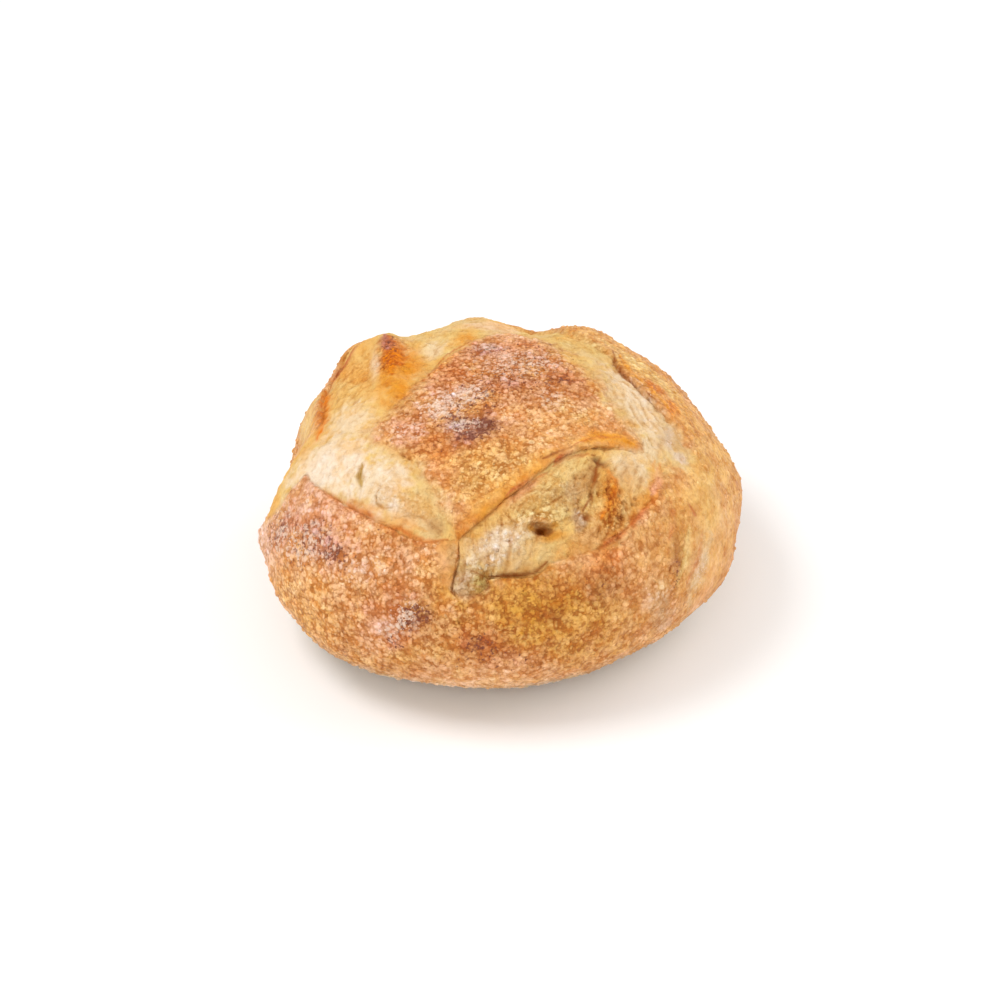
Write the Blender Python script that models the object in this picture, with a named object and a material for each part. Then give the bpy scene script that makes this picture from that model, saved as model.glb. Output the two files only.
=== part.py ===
"""Sourdough boule: one solid, hand-scored loaf on a small flat base.

The loaf starts as a subdivided ball.  Every corner of the ball is a direction from the
loaf's centre, and a crust map places it: the map's radius is the angle from straight up
and its bearing is the compass bearing, so the crown is the middle of the map.  The smooth
loaf, its swells and hollows, the scored panel in the middle, the torn ring of crumb round
that panel and the folds inside the ring are all worked out on that map.
"""

import math

import bmesh
import bpy
import numpy as np

# ---- Driving sizes: metres and degrees -------------------------------------------------
HALF_WIDTH = 0.107        # of the smooth loaf, along its longer axis
HALF_DEPTH = 0.0985       # across it
LONG_AXIS_TURN = 20.0     # bearing of the longer axis
HEIGHT = 0.1065           # base to crown
BELLY_HEIGHT = 0.0385     # height of the widest section
BASE_SINK = 0.010         # how far the rounded underside is cut flat
CROWN_POWER = 2.2         # 2 is an ellipsoid, more is squarer
BASE_POWER = 2.2

MAP_RADIUS = 0.1          # metres of crust map for each radian from straight up
MM = 0.001

LIP_REACH = 0.013         # how far in from its edge a lifted crust falls back
LIP_ROOT = 0.004          # how far a lip's lift carries on past its edge, under the step
CRUMB_REACH = 0.010       # how far out from the crust the sunken crumb rises again
STRAND_END = 0.12         # share of a strand's arch that is left off at each end

BALL_SUBDIVISIONS = 5
OUTLINE_STEP = 0.0015     # spacing of the points along an outline
# finer rows beside the scored edges: (distance from an edge, longest side left there)
EDGE_ROWS = ((0.0085, 0.0044), (0.0036, 0.0026))
EDGE_SNAP = 0.42          # share of its own sides within which a corner moves onto an edge
EDGE_EASE = 0.35          # evening out of the facets beside the edges
EASED_BAND = 0.012        # how far from an edge the ball's corners are evened out

CRUST_COLOUR = (0.55, 0.28, 0.10, 1.0)
CRUST_ROUGHNESS = 0.7

# ---- Smooth swells and hollows ---------------------------------------------------------
# map place u, v; reach along and across; turn in degrees; height (lengths in mm)
SWELLS = (
    (-143, 13, 38, 40, 0, -12.0),      # flattened left shoulder
    (-158, -44, 16, 14, 0, -2.0),
    (-77, 74, 20, 17, -40, 8.4),       # high left shoulder of the back
    (-40, 80, 18, 20, 0, 1.5),
    (-14, 97, 17, 20, 0, 4.5),         # crest at the back of the panel
    (22, 92, 12, 22, 0, -3.8),         # dip beside the crest
    (57, 86, 18, 16, -35, 3.8),        # right rear flap
    (120, 40, 28, 16, -60, -3.3),
    (148, 6, 18, 12, -70, 2.2),
    (-122, -128, 40, 20, -45, 2.2),
    (105, -145, 40, 15, 35, -1.2),
    (160, -50, 25, 15, -80, 1.8),
    (-146, -40, 9, 10, 0, 3.4),        # crusty knuckle on the left
)

# ---- The scored panel in the middle ----------------------------------------------------
# stations round its edge: u, v, lip lift, drop to the crumb, width of the step, all in mm,
# and whether the edge turns a corner there
PANEL = (
    (-22, -103, 0.9, 0.8, 4.0, True),      # front corner, where two slashes cross
    (-29, -86, 0.6, 0.7, 4.0, False),
    (-47, -58, 0.6, 0.8, 4.0, False),
    (-70, -30, 0.4, 0.6, 6.0, False),      # left corner
    (-56, -6, 0.2, 0.6, 9.0, False),
    (-45, 12, 0.3, 0.7, 7.0, False),
    (-24, 43, 0.4, 0.7, 6.0, False),
    (-11, 61, 0.3, 0.6, 7.0, False),
    (6, 70, 0.3, 0.5, 8.0, False),         # back edge, over the crest
    (23, 62, 0.2, 0.4, 9.0, False),
    (41, 38, 0.2, 0.5, 10.0, False),
    (58, 11, 0.3, 0.5, 8.0, False),
    (63, -6, 0.2, 0.5, 9.0, False),
    (72, -18, 0.3, 0.5, 7.0, False),
    (81, -37, 0.6, 0.6, 4.5, True),        # right corner
    (71, -41, 1.0, 1.0, 4.0, False),
    (59, -44, 1.5, 1.5, 4.0, False),
    (43, -52, 1.6, 1.8, 4.0, False),       # the ear: the lifted front right edge
    (16, -75, 1.4, 1.6, 4.0, False),
    (-7, -93, 1.1, 1.1, 4.0, False),
)

# ---- The opening round the panel, where the slashes tore apart ---------------------------
OPENING = (
    (-137, -6, 0.4, 0.5, 8.0, False),      # left tip, wrapping round the side
    (-141, -28, 0.3, 0.4, 9.0, False),
    (-127, -44, 0.3, 0.4, 8.0, False),
    (-105, -37, 0.7, 0.8, 4.0, True),
    (-96, -51, 0.8, 0.9, 4.0, False),      # edge of the front left crust
    (-72, -78, 0.9, 1.2, 4.0, False),
    (-54, -92, 0.9, 1.2, 4.0, False),
    (-40, -100, 0.9, 1.0, 4.0, False),
    (-21, -102, 0.8, 0.9, 4.0, True),      # the crossing
    (-21, -110, 0.9, 1.4, 4.0, False),
    (-25, -123, 0.6, 0.9, 4.0, False),     # the lobe by the crossing
    (-15, -127, 0.4, 0.6, 4.0, False),
    (-5, -122, 0.6, 0.9, 4.0, True),
    (4, -119, 0.9, 1.7, 4.0, False),
    (20, -118, 1.0, 1.7, 4.0, False),      # front edge of the right-hand tear
    (29, -111, 0.8, 1.2, 4.0, True),
    (42, -106, 0.5, 0.7, 4.0, False),
    (62, -96, 0.9, 0.6, 4.0, False),
    (73, -84, 1.3, 0.7, 4.5, False),       # raised ridge
    (84, -66, 1.3, 0.7, 5.0, False),
    (90, -46, 0.8, 0.6, 6.5, False),
    (107, -28, 0.3, 0.5, 8.0, False),      # right tip
    (90, 4, 1.1, 1.1, 4.0, False),         # edge of the right rear flap
    (71, 30, 1.3, 1.1, 4.0, False),
    (66, 50, 1.0, 1.0, 4.0, False),
    (48, 70, 0.8, 0.8, 5.0, False),
    (18, 104, 1.4, 1.4, 4.0, False),       # the tear across the back
    (-34, 108, 1.7, 1.7, 4.0, False),
    (-74, 84, 1.2, 1.3, 4.0, False),
    (-97, 58, 0.9, 1.0, 4.0, False),       # left side
    (-104, 34, 1.1, 1.0, 4.0, False),
    (-103, 2, 0.5, 0.6, 5.5, False),
    (-117, 2, 0.3, 0.4, 7.0, False),
)

# ---- Folds and strands in the torn crumb -------------------------------------------------
# height, reach to the left of the run, reach to its right, then the run itself, all in mm
STRANDS = (
    (3.0, 3.8, 8.0, ((-62, 78), (-62, 40), (-60, 0))),        # torn fold, upper left
    (1.8, 3.0, 4.0, ((11, -94), (26, -90), (34, -95))),       # strand over the dark hole
    (1.9, 3.0, 3.8, ((60, -55), (64, -70), (54, -90))),       # small fold by the ridge
)

# ---- Pockets and bulges of the crumb, given as the swells are ----------------------------
POCKETS = (
    (-42, 38, 7, 22, -12, -1.8),       # valley between the fold and the panel
    (-80, 25, 8, 26, -8, -1.6),        # valley left of the fold
    (-88, -35, 22, 12, -35, 1.5),      # proud crumb of the left tear
    (-56, -68, 20, 8, -40, 1.2),
    (42, -72, 6, 9, -24, -2.4),        # smooth pocket under the ear
    (57, -53, 4, 4, -25, -2.4),
    (25, -98, 5, 3, 5, -3.2),          # hole under the strand
    (0, -110, 16, 6, 4, 1.6),
    (-15, -121, 7, 4.4, 6, 1.4),       # the lobe by the crossing
    (84, -22, 12, 18, -20, -0.9),
    (72, -48, 9, 8, -20, 1.0),
)


def outline(stations):
    """The closed line through the stations, as rows of u, v, lift, drop and step width.
    It is smooth at every station that isn't a corner."""
    rows = np.array([s[:5] for s in stations]) * MM
    corner = [s[5] for s in stations]
    count = len(rows)
    line = []
    for i in range(count):
        after = (i + 1) % count
        here, there = rows[i], rows[after]
        before = here if corner[i] else rows[i - 1]
        beyond = there if corner[after] else rows[(i + 2) % count]
        reach = [max(math.dist(a[:2], b[:2]), 1e-6) ** 0.5
                 for a, b in ((before, here), (here, there), (there, beyond))]
        leave = arrive = there - here
        if not corner[i]:
            leave = ((here - before) / reach[0] - (there - before) / (reach[0] + reach[1])
                     + (there - here) / reach[1]) * reach[1]
        if not corner[after]:
            arrive = ((there - here) / reach[1] - (beyond - here) / (reach[1] + reach[2])
                      + (beyond - there) / reach[2]) * reach[1]
        parts = max(3, int(math.dist(here[:2], there[:2]) / OUTLINE_STEP))
        for t in np.arange(parts) / parts:
            share = 3 * t**2 - 2 * t**3
            row = here + (there - here) * share
            row[:2] += ((t**3 - 2 * t**2 + t) * leave + (t**3 - t**2) * arrive)[:2]
            line.append(row)
    return np.array(line)


def distance_to(places, line):
    """Distance from each place to a closed line (positive inside), the line's values at the
    nearest point, and the way to that point."""
    start, end = line, np.roll(line, -1, axis=0)
    along = (end - start)[:, :2]
    away = places[:, None, :] - start[None, :, :2]
    t = np.clip((away * along).sum(2) / (along**2).sum(1), 0, 1)
    gap = np.linalg.norm(away - t[..., None] * along, axis=2)
    index, nearest = np.arange(len(places)), gap.argmin(1)
    share = t[index, nearest, None]
    values = start[nearest, 2:] * (1 - share) + end[nearest, 2:] * share
    way = share * along[nearest] - away[index, nearest]
    v = places[:, 1, None]
    crosses = (start[:, 1] > v) != (end[:, 1] > v)
    rise = np.where(along[:, 1] == 0, 1, along[:, 1])
    meets = start[:, 0] + (v - start[:, 1]) / rise * along[:, 0]
    inside = (crosses & (places[:, 0, None] < meets)).sum(1) % 2 == 1
    return np.where(inside, 1, -1) * gap[index, nearest], values, way


def swell(places, rows):
    """Height of a set of smooth swells and hollows at each place of the map."""
    total = np.zeros(len(places))
    for u, v, along, across, turn, height in rows:
        bearing = math.radians(turn)
        du, dv = places[:, 0] - u * MM, places[:, 1] - v * MM
        x = (du * math.cos(bearing) + dv * math.sin(bearing)) / (along * MM)
        y = (dv * math.cos(bearing) - du * math.sin(bearing)) / (across * MM)
        total += height * MM * np.exp(-x**2 - y**2)
    return total


def strand(places, height, left, right, run):
    """A raised fold with a different slope on each side of its run, lower at its ends."""
    run = np.array(run) * MM
    lengths = np.linalg.norm(np.diff(run, axis=0), axis=1)
    passed = np.concatenate([[0], np.cumsum(lengths)]) / lengths.sum()
    near, result = np.zeros(len(places)), np.zeros(len(places))
    for start, end, first, last in zip(run[:-1], run[1:], passed[:-1], passed[1:]):
        along = end - start
        t = np.clip((places - start) @ along / (along @ along), 0, 1)
        off = places - (start + t[:, None] * along)
        side = along[0] * off[:, 1] - along[1] * off[:, 0]
        reach = np.where(side > 0, right, left) * MM
        slope = np.exp(-((np.linalg.norm(off, axis=1) / reach) ** 2))
        share = STRAND_END + (1 - 2 * STRAND_END) * (first + t * (last - first))
        result = np.where(slope > near, height * MM * slope * np.sin(math.pi * share), result)
        near = np.maximum(near, slope)
    return result


def soft_step(x, width):
    t = np.clip(x / width + 0.5, 0, 1)
    return t * t * (3 - 2 * t)


def smooth_loaf(directions):
    """Points of the smooth loaf along each direction, the normals there, and how far each
    point is from the loaf's centre."""
    a = math.radians(LONG_AXIS_TURN)
    turn = np.array([[math.cos(a), -math.sin(a), 0], [math.sin(a), math.cos(a), 0], [0, 0, 1]])
    local = directions @ turn
    upper = local[:, 2] > 0
    rise = np.where(upper, HEIGHT - BELLY_HEIGHT, BELLY_HEIGHT + BASE_SINK)
    power = np.where(upper, CROWN_POWER, BASE_POWER)
    plan = np.hypot(local[:, 0] / HALF_WIDTH, local[:, 1] / HALF_DEPTH)
    radius = (plan**power + (np.abs(local[:, 2]) / rise) ** power) ** (-1 / power)
    point = local * radius[:, None]
    plan = np.maximum(plan * radius, 1e-6)
    normal = np.stack([
        plan ** (power - 2) * point[:, 0] / HALF_WIDTH**2,
        plan ** (power - 2) * point[:, 1] / HALF_DEPTH**2,
        np.sign(point[:, 2]) * np.abs(point[:, 2]) ** (power - 1) / rise**power,
    ], axis=1)
    normal /= np.linalg.norm(normal, axis=1)[:, None]
    return point @ turn.T + [0, 0, BELLY_HEIGHT], normal @ turn.T, radius


def height_over_loaf(places, scale, panel_edge, opening_edge):
    """Height over the smooth loaf: swells, lifted crust edges, and the torn crumb."""
    panel, on_panel, _ = distance_to(places, panel_edge)
    opening, on_opening, _ = distance_to(places, opening_edge)
    panel, outside = panel * scale, -opening * scale
    crust = np.maximum(soft_step(panel, on_panel[:, 2]), soft_step(outside, on_opening[:, 2]))
    lips = np.zeros(len(places))
    sunken = np.zeros(len(places))
    for gap, (lift, drop, _) in ((panel, on_panel.T), (outside, on_opening.T)):
        lips = np.maximum(lips, (gap > -LIP_ROOT) * lift * np.exp(-((gap / LIP_REACH) ** 2)))
        sunken = np.maximum(sunken, drop * np.exp(-((gap / CRUMB_REACH) ** 2)))
    crumb = swell(places, POCKETS) - sunken
    for row in STRANDS:
        crumb += strand(places, *row)
    return swell(places, SWELLS) + crust * lips + (1 - crust) * crumb


def ball_places(body):
    """The ball's corners as directions, their places on the crust map, and the real size of
    a unit of the map at each."""
    body.verts.ensure_lookup_table()
    body.verts.index_update()
    ball = np.array([v.co for v in body.verts])
    ball /= np.linalg.norm(ball, axis=1)[:, None]
    polar = np.arccos(np.clip(ball[:, 2], -1, 1))
    flat = np.maximum(np.hypot(ball[:, 0], ball[:, 1]), 1e-9)
    places = ball[:, :2] * (polar * MAP_RADIUS / flat)[:, None]
    return ball, places, smooth_loaf(ball)[2] / MAP_RADIUS


def distance_to_edges(places, lines):
    return np.min([np.abs(distance_to(places, line)[0]) for line in lines], axis=0)


def add_edge_rows(body, lines):
    for width, longest in EDGE_ROWS:
        _, places, scale = ball_places(body)
        close = distance_to_edges(places, lines) * scale < width
        split = [
            e for e in body.edges
            if close[e.verts[0].index] and close[e.verts[1].index]
            and e.calc_length() * MAP_RADIUS > longest
        ]
        bmesh.ops.subdivide_edges(body, edges=split, cuts=1, use_grid_fill=True)
        bmesh.ops.triangulate(body, faces=[f for f in body.faces if len(f.verts) > 3])


def snap_to_edges(body, lines):
    """Move the ball's corners that lie close to a scored edge onto it, so that the edge
    runs along the sides of the facets, and even out the corners beside it."""
    _, places, scale = ball_places(body)
    found = [distance_to(places, line) for line in lines]
    gaps = np.abs([f[0] for f in found]) * scale
    nearest, gap = gaps.argmin(0), gaps.min(0)
    snapped = set()
    for i in np.argsort(gap):
        vertex = body.verts[int(i)]
        side = np.mean([e.calc_length() for e in vertex.link_edges]) * MAP_RADIUS * scale[i]
        on_edge = max(sum(v.index in snapped for v in f.verts) for f in vertex.link_faces)
        if gap[i] > side * EDGE_SNAP or on_edge > 1:
            continue
        u, v = places[i] + found[nearest[i]][2][i]
        polar, bearing = math.hypot(u, v) / MAP_RADIUS, math.atan2(v, u)
        vertex.co = (math.sin(polar) * math.cos(bearing),
                     math.sin(polar) * math.sin(bearing), math.cos(polar))
        snapped.add(vertex.index)
    ease(body, [v for v in body.verts if v.index not in snapped and gap[v.index] < EASED_BAND])


def ease(body, verts):
    bmesh.ops.smooth_vert(body, verts=verts, factor=EDGE_EASE, use_axis_x=True,
                          use_axis_y=True, use_axis_z=True)


def make_boule():
    body = bmesh.new()
    bmesh.ops.create_icosphere(body, subdivisions=BALL_SUBDIVISIONS, radius=1.0)
    lines = outline(PANEL), outline(OPENING)
    add_edge_rows(body, lines)
    snap_to_edges(body, lines)
    ball, places, scale = ball_places(body)
    point, normal, _ = smooth_loaf(ball)
    point += normal * height_over_loaf(places, scale, *lines)[:, None]
    point[:, 2] = np.maximum(point[:, 2], 0)
    point[:, :2] -= (point[:, :2].min(axis=0) + point[:, :2].max(axis=0)) / 2
    for vertex, place in zip(body.verts, point):
        vertex.co = place
    gap = distance_to_edges(places, lines) * scale
    ease(body, [v for v in body.verts if gap[v.index] < EDGE_ROWS[0][0]])
    bmesh.ops.recalc_face_normals(body, faces=body.faces)
    return body


def crust_material():
    material = bpy.data.materials.new("baked_crust")
    material.use_nodes = True
    surface = material.node_tree.nodes["Principled BSDF"]
    surface.inputs["Base Color"].default_value = CRUST_COLOUR
    surface.inputs["Roughness"].default_value = CRUST_ROUGHNESS
    surface.inputs["Metallic"].default_value = 0.0
    material.diffuse_color = CRUST_COLOUR
    return material


def main():
    for item in list(bpy.data.objects):
        bpy.data.objects.remove(item)
    home = bpy.data.collections.new("sourdough_boule")
    bpy.context.scene.collection.children.link(home)
    mesh = bpy.data.meshes.new("boule")
    body = make_boule()
    body.to_mesh(mesh)
    body.free()
    mesh.shade_smooth()
    mesh.materials.append(crust_material())
    home.objects.link(bpy.data.objects.new("boule", mesh))


main()
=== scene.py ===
"""Sourdough boule: a hand-scored loaf with a blistered crust, torn crumb and a little flour.

Everything on the loaf is placed on a crust map: the map's radius is the angle from straight
up, seen from the loaf's centre, and its bearing is the compass bearing.  The crown is the
middle of the map and the front of the loaf is at negative v.
"""

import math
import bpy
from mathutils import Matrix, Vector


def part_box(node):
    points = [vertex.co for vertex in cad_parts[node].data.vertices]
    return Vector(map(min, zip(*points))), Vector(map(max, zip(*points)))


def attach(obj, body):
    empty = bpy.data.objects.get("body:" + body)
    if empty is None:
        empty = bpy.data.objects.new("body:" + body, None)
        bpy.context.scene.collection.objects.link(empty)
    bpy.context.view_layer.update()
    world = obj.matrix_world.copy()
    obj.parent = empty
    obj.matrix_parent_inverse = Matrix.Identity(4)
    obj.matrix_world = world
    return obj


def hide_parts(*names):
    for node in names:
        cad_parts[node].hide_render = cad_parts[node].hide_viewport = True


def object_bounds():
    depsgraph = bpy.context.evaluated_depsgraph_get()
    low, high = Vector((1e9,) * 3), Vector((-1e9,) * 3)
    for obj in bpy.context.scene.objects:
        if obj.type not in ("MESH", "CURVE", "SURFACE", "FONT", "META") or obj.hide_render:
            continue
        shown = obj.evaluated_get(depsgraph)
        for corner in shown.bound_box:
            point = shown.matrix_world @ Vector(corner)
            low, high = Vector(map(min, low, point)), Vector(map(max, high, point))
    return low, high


bl_info = {
    "name": "Sourdough Boule",
    "version": (1, 0, 0),
    "blender": (4, 5, 0),
    "location": "View3D > Sidebar > Boule",
    "description": "Bakes a hand-scored sourdough boule with a blistered crust and torn crumb",
    "category": "Add Mesh",
}

import bmesh
import bpy
import numpy as np
from bpy.props import FloatProperty, FloatVectorProperty, IntProperty, PointerProperty
from mathutils import Quaternion, Vector, noise
from mathutils.kdtree import KDTree

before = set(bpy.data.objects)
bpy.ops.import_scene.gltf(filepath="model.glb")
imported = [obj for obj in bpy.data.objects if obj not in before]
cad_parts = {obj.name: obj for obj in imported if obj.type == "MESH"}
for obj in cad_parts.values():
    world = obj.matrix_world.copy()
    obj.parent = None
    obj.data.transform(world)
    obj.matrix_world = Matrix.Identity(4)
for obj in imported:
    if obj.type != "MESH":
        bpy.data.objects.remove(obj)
CAD_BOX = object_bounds()

MM = 0.001
MAP_RADIUS = 0.1  # metres of crust map for each radian from straight up
OUTLINE_STEP = 0.0022  # spacing of the points along an outline
CHUNK = 4000  # places measured against an outline at a time

LIP_REACH = 0.012  # how far in from its edge a lifted crust falls back
LIP_ROUND = 1.4 * MM  # radius of a lip's rounded rim
LIP_UNDERCUT = 0.8 * MM  # how far a lip's face is drawn back under its rim
CRUST_TAIL = 3.2 * MM  # how far past its edge the crust under the crumb is still drawn back
CRUMB_REACH = 0.009  # how far out from the crust the sunken crumb rises again
CRUMB_UNDER = 2.5 * MM  # how deep the crumb dips at most where it runs on under the crust
CRUMB_THICKNESS = 9 * MM
SOFT_WIDTH = 3.2 * MM  # an edge's step is soft when it is this wide
CRISP_WIDTH = 1.6 * MM  # and crisp when it is this narrow
FOOT = 4 * MM  # height at which the floury underside gives way to the wall
LOWEST_FINE = -0.62  # the crust's mesh stays coarse in directions that point lower than this

# ---- The loaf's form -------------------------------------------------------------------
# map place u, v; reach along and across; turn in degrees; height (lengths in mm)
SWELLS = (
    (-143, 13, 38, 40, 0, -12.0),  # flattened left shoulder
    (-158, -44, 16, 14, 0, -2.0),
    (-77, 74, 20, 17, -40, 8.4),  # high left shoulder of the back
    (-40, 80, 18, 20, 0, 1.5),
    (-14, 97, 17, 20, 0, 4.5),  # crest at the back of the panel
    (22, 92, 12, 22, 0, -3.8),  # dip beside the crest
    (57, 86, 18, 16, -35, 3.8),  # right rear flap
    (120, 40, 28, 16, -60, -3.3),
    (148, 6, 18, 12, -70, 2.2),
    (-122, -128, 40, 20, -45, 2.2),
    (105, -145, 40, 15, 35, -1.2),
    (160, -50, 25, 15, -80, 1.8),
    (-146, -40, 9, 10, 0, 3.4),  # crusty knuckle on the left
)

# stations round an edge: u, v, lip lift, drop to the crumb, width of the step, width of the
# change of colour, all in mm; the edge is smooth at each but the marked corners
CORNER = True
PANEL = (
    (-22, -103, 0.9, 0.7, 2.0, 2.0, CORNER),  # front corner, where two slashes cross
    (-29, -86, 0.6, 0.5, 3.5, 8.0),
    (-47, -58, 0.6, 0.6, 2.6, 8.0),
    (-56, -49, 0.5, 0.5, 3.0, 8.0),
    (-70, -30, 0.3, 0.4, 7.0, 10.0),  # left corner
    (-56, -6, 0.2, 0.4, 9.0, 13.0),
    (-45, 12, 0.3, 0.5, 6.0, 10.0),
    (-34, 29, 0.4, 0.6, 4.0, 7.0),
    (-24, 43, 0.4, 0.5, 4.5, 7.0),
    (-11, 61, 0.3, 0.4, 6.0, 9.0),
    (6, 70, 0.3, 0.4, 8.0, 12.0),  # back edge, over the crest
    (23, 62, 0.2, 0.3, 9.0, 16.0),
    (41, 38, 0.2, 0.4, 10.0, 16.0),
    (58, 11, 0.3, 0.4, 8.0, 12.0),
    (63, -6, 0.2, 0.4, 9.0, 14.0),
    (72, -18, 0.3, 0.5, 7.0, 11.0),
    (81, -37, 0.4, 0.3, 4.0, 3.4, CORNER),  # right corner
    (71, -41, 0.8, 0.6, 3.0, 2.6),
    (59, -44, 1.4, 0.9, 1.8, 1.6),
    (43, -52, 1.5, 1.0, 1.6, 1.5),  # the ear: the lifted front right edge
    (16, -75, 1.3, 0.8, 1.6, 1.5),
    (-7, -93, 1.0, 0.6, 1.8, 1.8),
)

OPENING = (
    (-137, -6, 0.4, 0.4, 9.0, 9.0),  # left tip, wrapping round the side
    (-141, -28, 0.3, 0.3, 10.0, 10.0),
    (-127, -44, 0.3, 0.3, 8.0, 10.0),
    (-113, -41, 0.5, 0.5, 4.0, 5.0),
    (-105, -37, 0.7, 0.7, 2.2, 1.8, CORNER),
    (-96, -51, 0.8, 0.8, 1.9, 1.6),  # edge of the front left crust
    (-86, -64, 0.8, 0.9, 1.8, 1.6),
    (-72, -78, 0.9, 1.2, 1.6, 1.4),
    (-54, -92, 0.9, 1.2, 1.6, 1.4),
    (-40, -100, 0.9, 1.0, 1.6, 1.6),
    (-21, -102, 0.8, 0.8, 1.8, 2.0, CORNER),  # the crossing
    (-21, -110, 0.9, 1.4, 1.6, 1.5),
    (-24, -117, 0.8, 1.3, 1.7, 1.8),
    (-25.5, -123, 0.5, 0.8, 2.4, 2.6),
    (-19, -126, 0.3, 0.5, 3.2, 5.0),  # the lobe by the crossing
    (-9, -125, 0.3, 0.5, 3.0, 4.5),
    (-5, -122.5, 0.4, 0.7, 2.6, 3.0),
    (-7, -119.4, 0.6, 1.2, 1.6, 1.8, CORNER),
    (4, -119, 0.9, 1.7, 1.5, 1.4),
    (20, -118, 1.0, 1.7, 1.5, 1.4),  # front edge of the right-hand tear
    (29, -111, 0.8, 1.2, 1.8, 2.0, CORNER),
    (42, -106, 0.5, 0.6, 2.6, 5.0),
    (62, -96, 0.9, 0.5, 3.2, 6.0),
    (73, -84, 1.3, 0.6, 3.0, 5.0),  # raised ridge
    (84, -66, 1.3, 0.6, 3.4, 6.0),
    (90, -46, 0.8, 0.5, 6.0, 10.0),
    (107, -28, 0.3, 0.5, 8.0, 12.0),  # right tip
    (99, -8, 0.8, 0.8, 3.0, 4.0),
    (90, 4, 1.1, 1.1, 1.8, 1.8),  # edge of the right rear flap
    (80, 17, 1.2, 1.1, 1.8, 1.6),
    (71, 30, 1.3, 1.1, 1.7, 1.6),
    (66, 50, 1.0, 1.0, 2.0, 2.5),
    (48, 70, 0.8, 0.8, 4.0, 7.0),
    (18, 104, 1.4, 1.4, 1.7, 1.8),  # the tear across the back
    (-34, 108, 1.7, 1.7, 1.6, 1.6),
    (-74, 84, 1.2, 1.2, 2.0, 2.4),
    (-97, 58, 0.9, 1.0, 2.2, 3.0),  # left side
    (-104, 34, 1.1, 1.0, 2.0, 2.5),
    (-103, 2, 0.5, 0.5, 5.0, 6.0),
    (-117, 2, 0.3, 0.4, 7.0, 8.0),
)

# height, reach to the left of the run, reach to its right, then the run itself, all in mm
STRANDS = (
    (3.0, 3.6, 8.0, ((-62, 78), (-62, 40), (-60, 0))),  # torn fold, upper left
    (1.6, 1.6, 2.4, ((15, -94), (20, -92.5), (27, -92), (33, -95))),  # over the dark hole
    (1.3, 1.0, 1.3, ((13, -99.6), (20, -101.2), (27, -100.6), (32, -97.5))),
    (1.7, 2.2, 2.6, ((60, -55), (64, -68), (60, -80), (52, -91))),  # fold by the ridge
    (0.8, 2.0, 3.0, ((2, -87), (17, -81), (33, -76))),  # long soft fold
    (0.9, 1.0, 1.6, ((89, -42), (89, -51), (86, -61), (80, -72))),  # small red folds
    (0.8, 1.0, 1.6, ((78, -75), (71, -85), (60, -97))),
    (0.5, 1.4, 2.4, ((-66, -33), (-58, -44), (-47, -55))),
    (0.6, 1.2, 1.8, ((-27, -99), (-36, -92), (-44, -88))),
)

# pockets and bulges of the crumb, given as the swells are
POCKETS = (
    (-42, 38, 7, 22, -12, -1.8),  # valley between the fold and the panel
    (-80, 25, 8, 26, -8, -1.6),  # valley left of the fold
    (-72, 44, 2.5, 14, 0, 0.9),
    (-88, -35, 22, 12, -35, 1.5),  # proud crumb of the left tear
    (-56, -68, 20, 8, -40, 1.2),
    (-60, -72.5, 4.6, 5.4, 0, 1.1),  # round blister in it
    (42, -72, 6.0, 9, -24, -2.2),  # smooth pocket under the ear
    (53, -67, 2.4, 9, -22, -1.8),  # its shadowed right wall
    (57, -52.5, 3.6, 2.8, -25, -3.4),  # pits at its head
    (60, -56.5, 1.5, 2.0, 0, -1.8),
    (49, -87, 2.6, 1.8, 20, -1.5),
    (68, -81, 2.2, 1.7, 20, -1.7),
    (24.4, -97.6, 4.4, 2.1, 2, -5.0),  # hole under the strand
    (18, -97, 1.8, 1.3, 0, -1.0),
    (31.5, -94.2, 1.8, 1.1, 30, -1.2),
    (76, -68, 1.0, 0.8, 0, -1.1),  # small holes
    (74, -72, 0.9, 0.8, 0, -1.0),
    (81, -69, 0.9, 0.7, 0, -0.8),
    (67, -68, 0.8, 1.2, 0, -0.9),
    (0, -110, 16, 6, 4, 1.6),
    (-15, -121, 7.0, 4.4, 6, 1.2),  # the lobe by the crossing
    (84, -22, 12, 18, -20, -0.9),
    (72, -48, 9, 8, -20, 1.0),
    (-33, -95, 6, 3.5, -25, -0.9),
)

# how the torn crumb is pulled: u, v, reach along and across, turn of the fibres, strength
TEARS = (
    (-2, -108, 20, 11, 86, 0.9),  # by the crossing
    (24, -84, 24, 14, 42, 1.0),
    (58, -76, 14, 22, 72, 1.1),
    (72, -60, 9, 16, 80, 0.7),
    (-72, -60, 44, 22, 70, 0.3),  # left tear
    (-84, 30, 14, 40, 76, 0.6),
    (-58, 40, 12, 34, 92, 0.8),  # the fold
    (-30, 62, 22, 24, 60, 0.6),
    (80, 6, 18, 44, -62, 0.7),  # upper right
    (20, 80, 60, 16, 0, 0.6),
)

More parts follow.
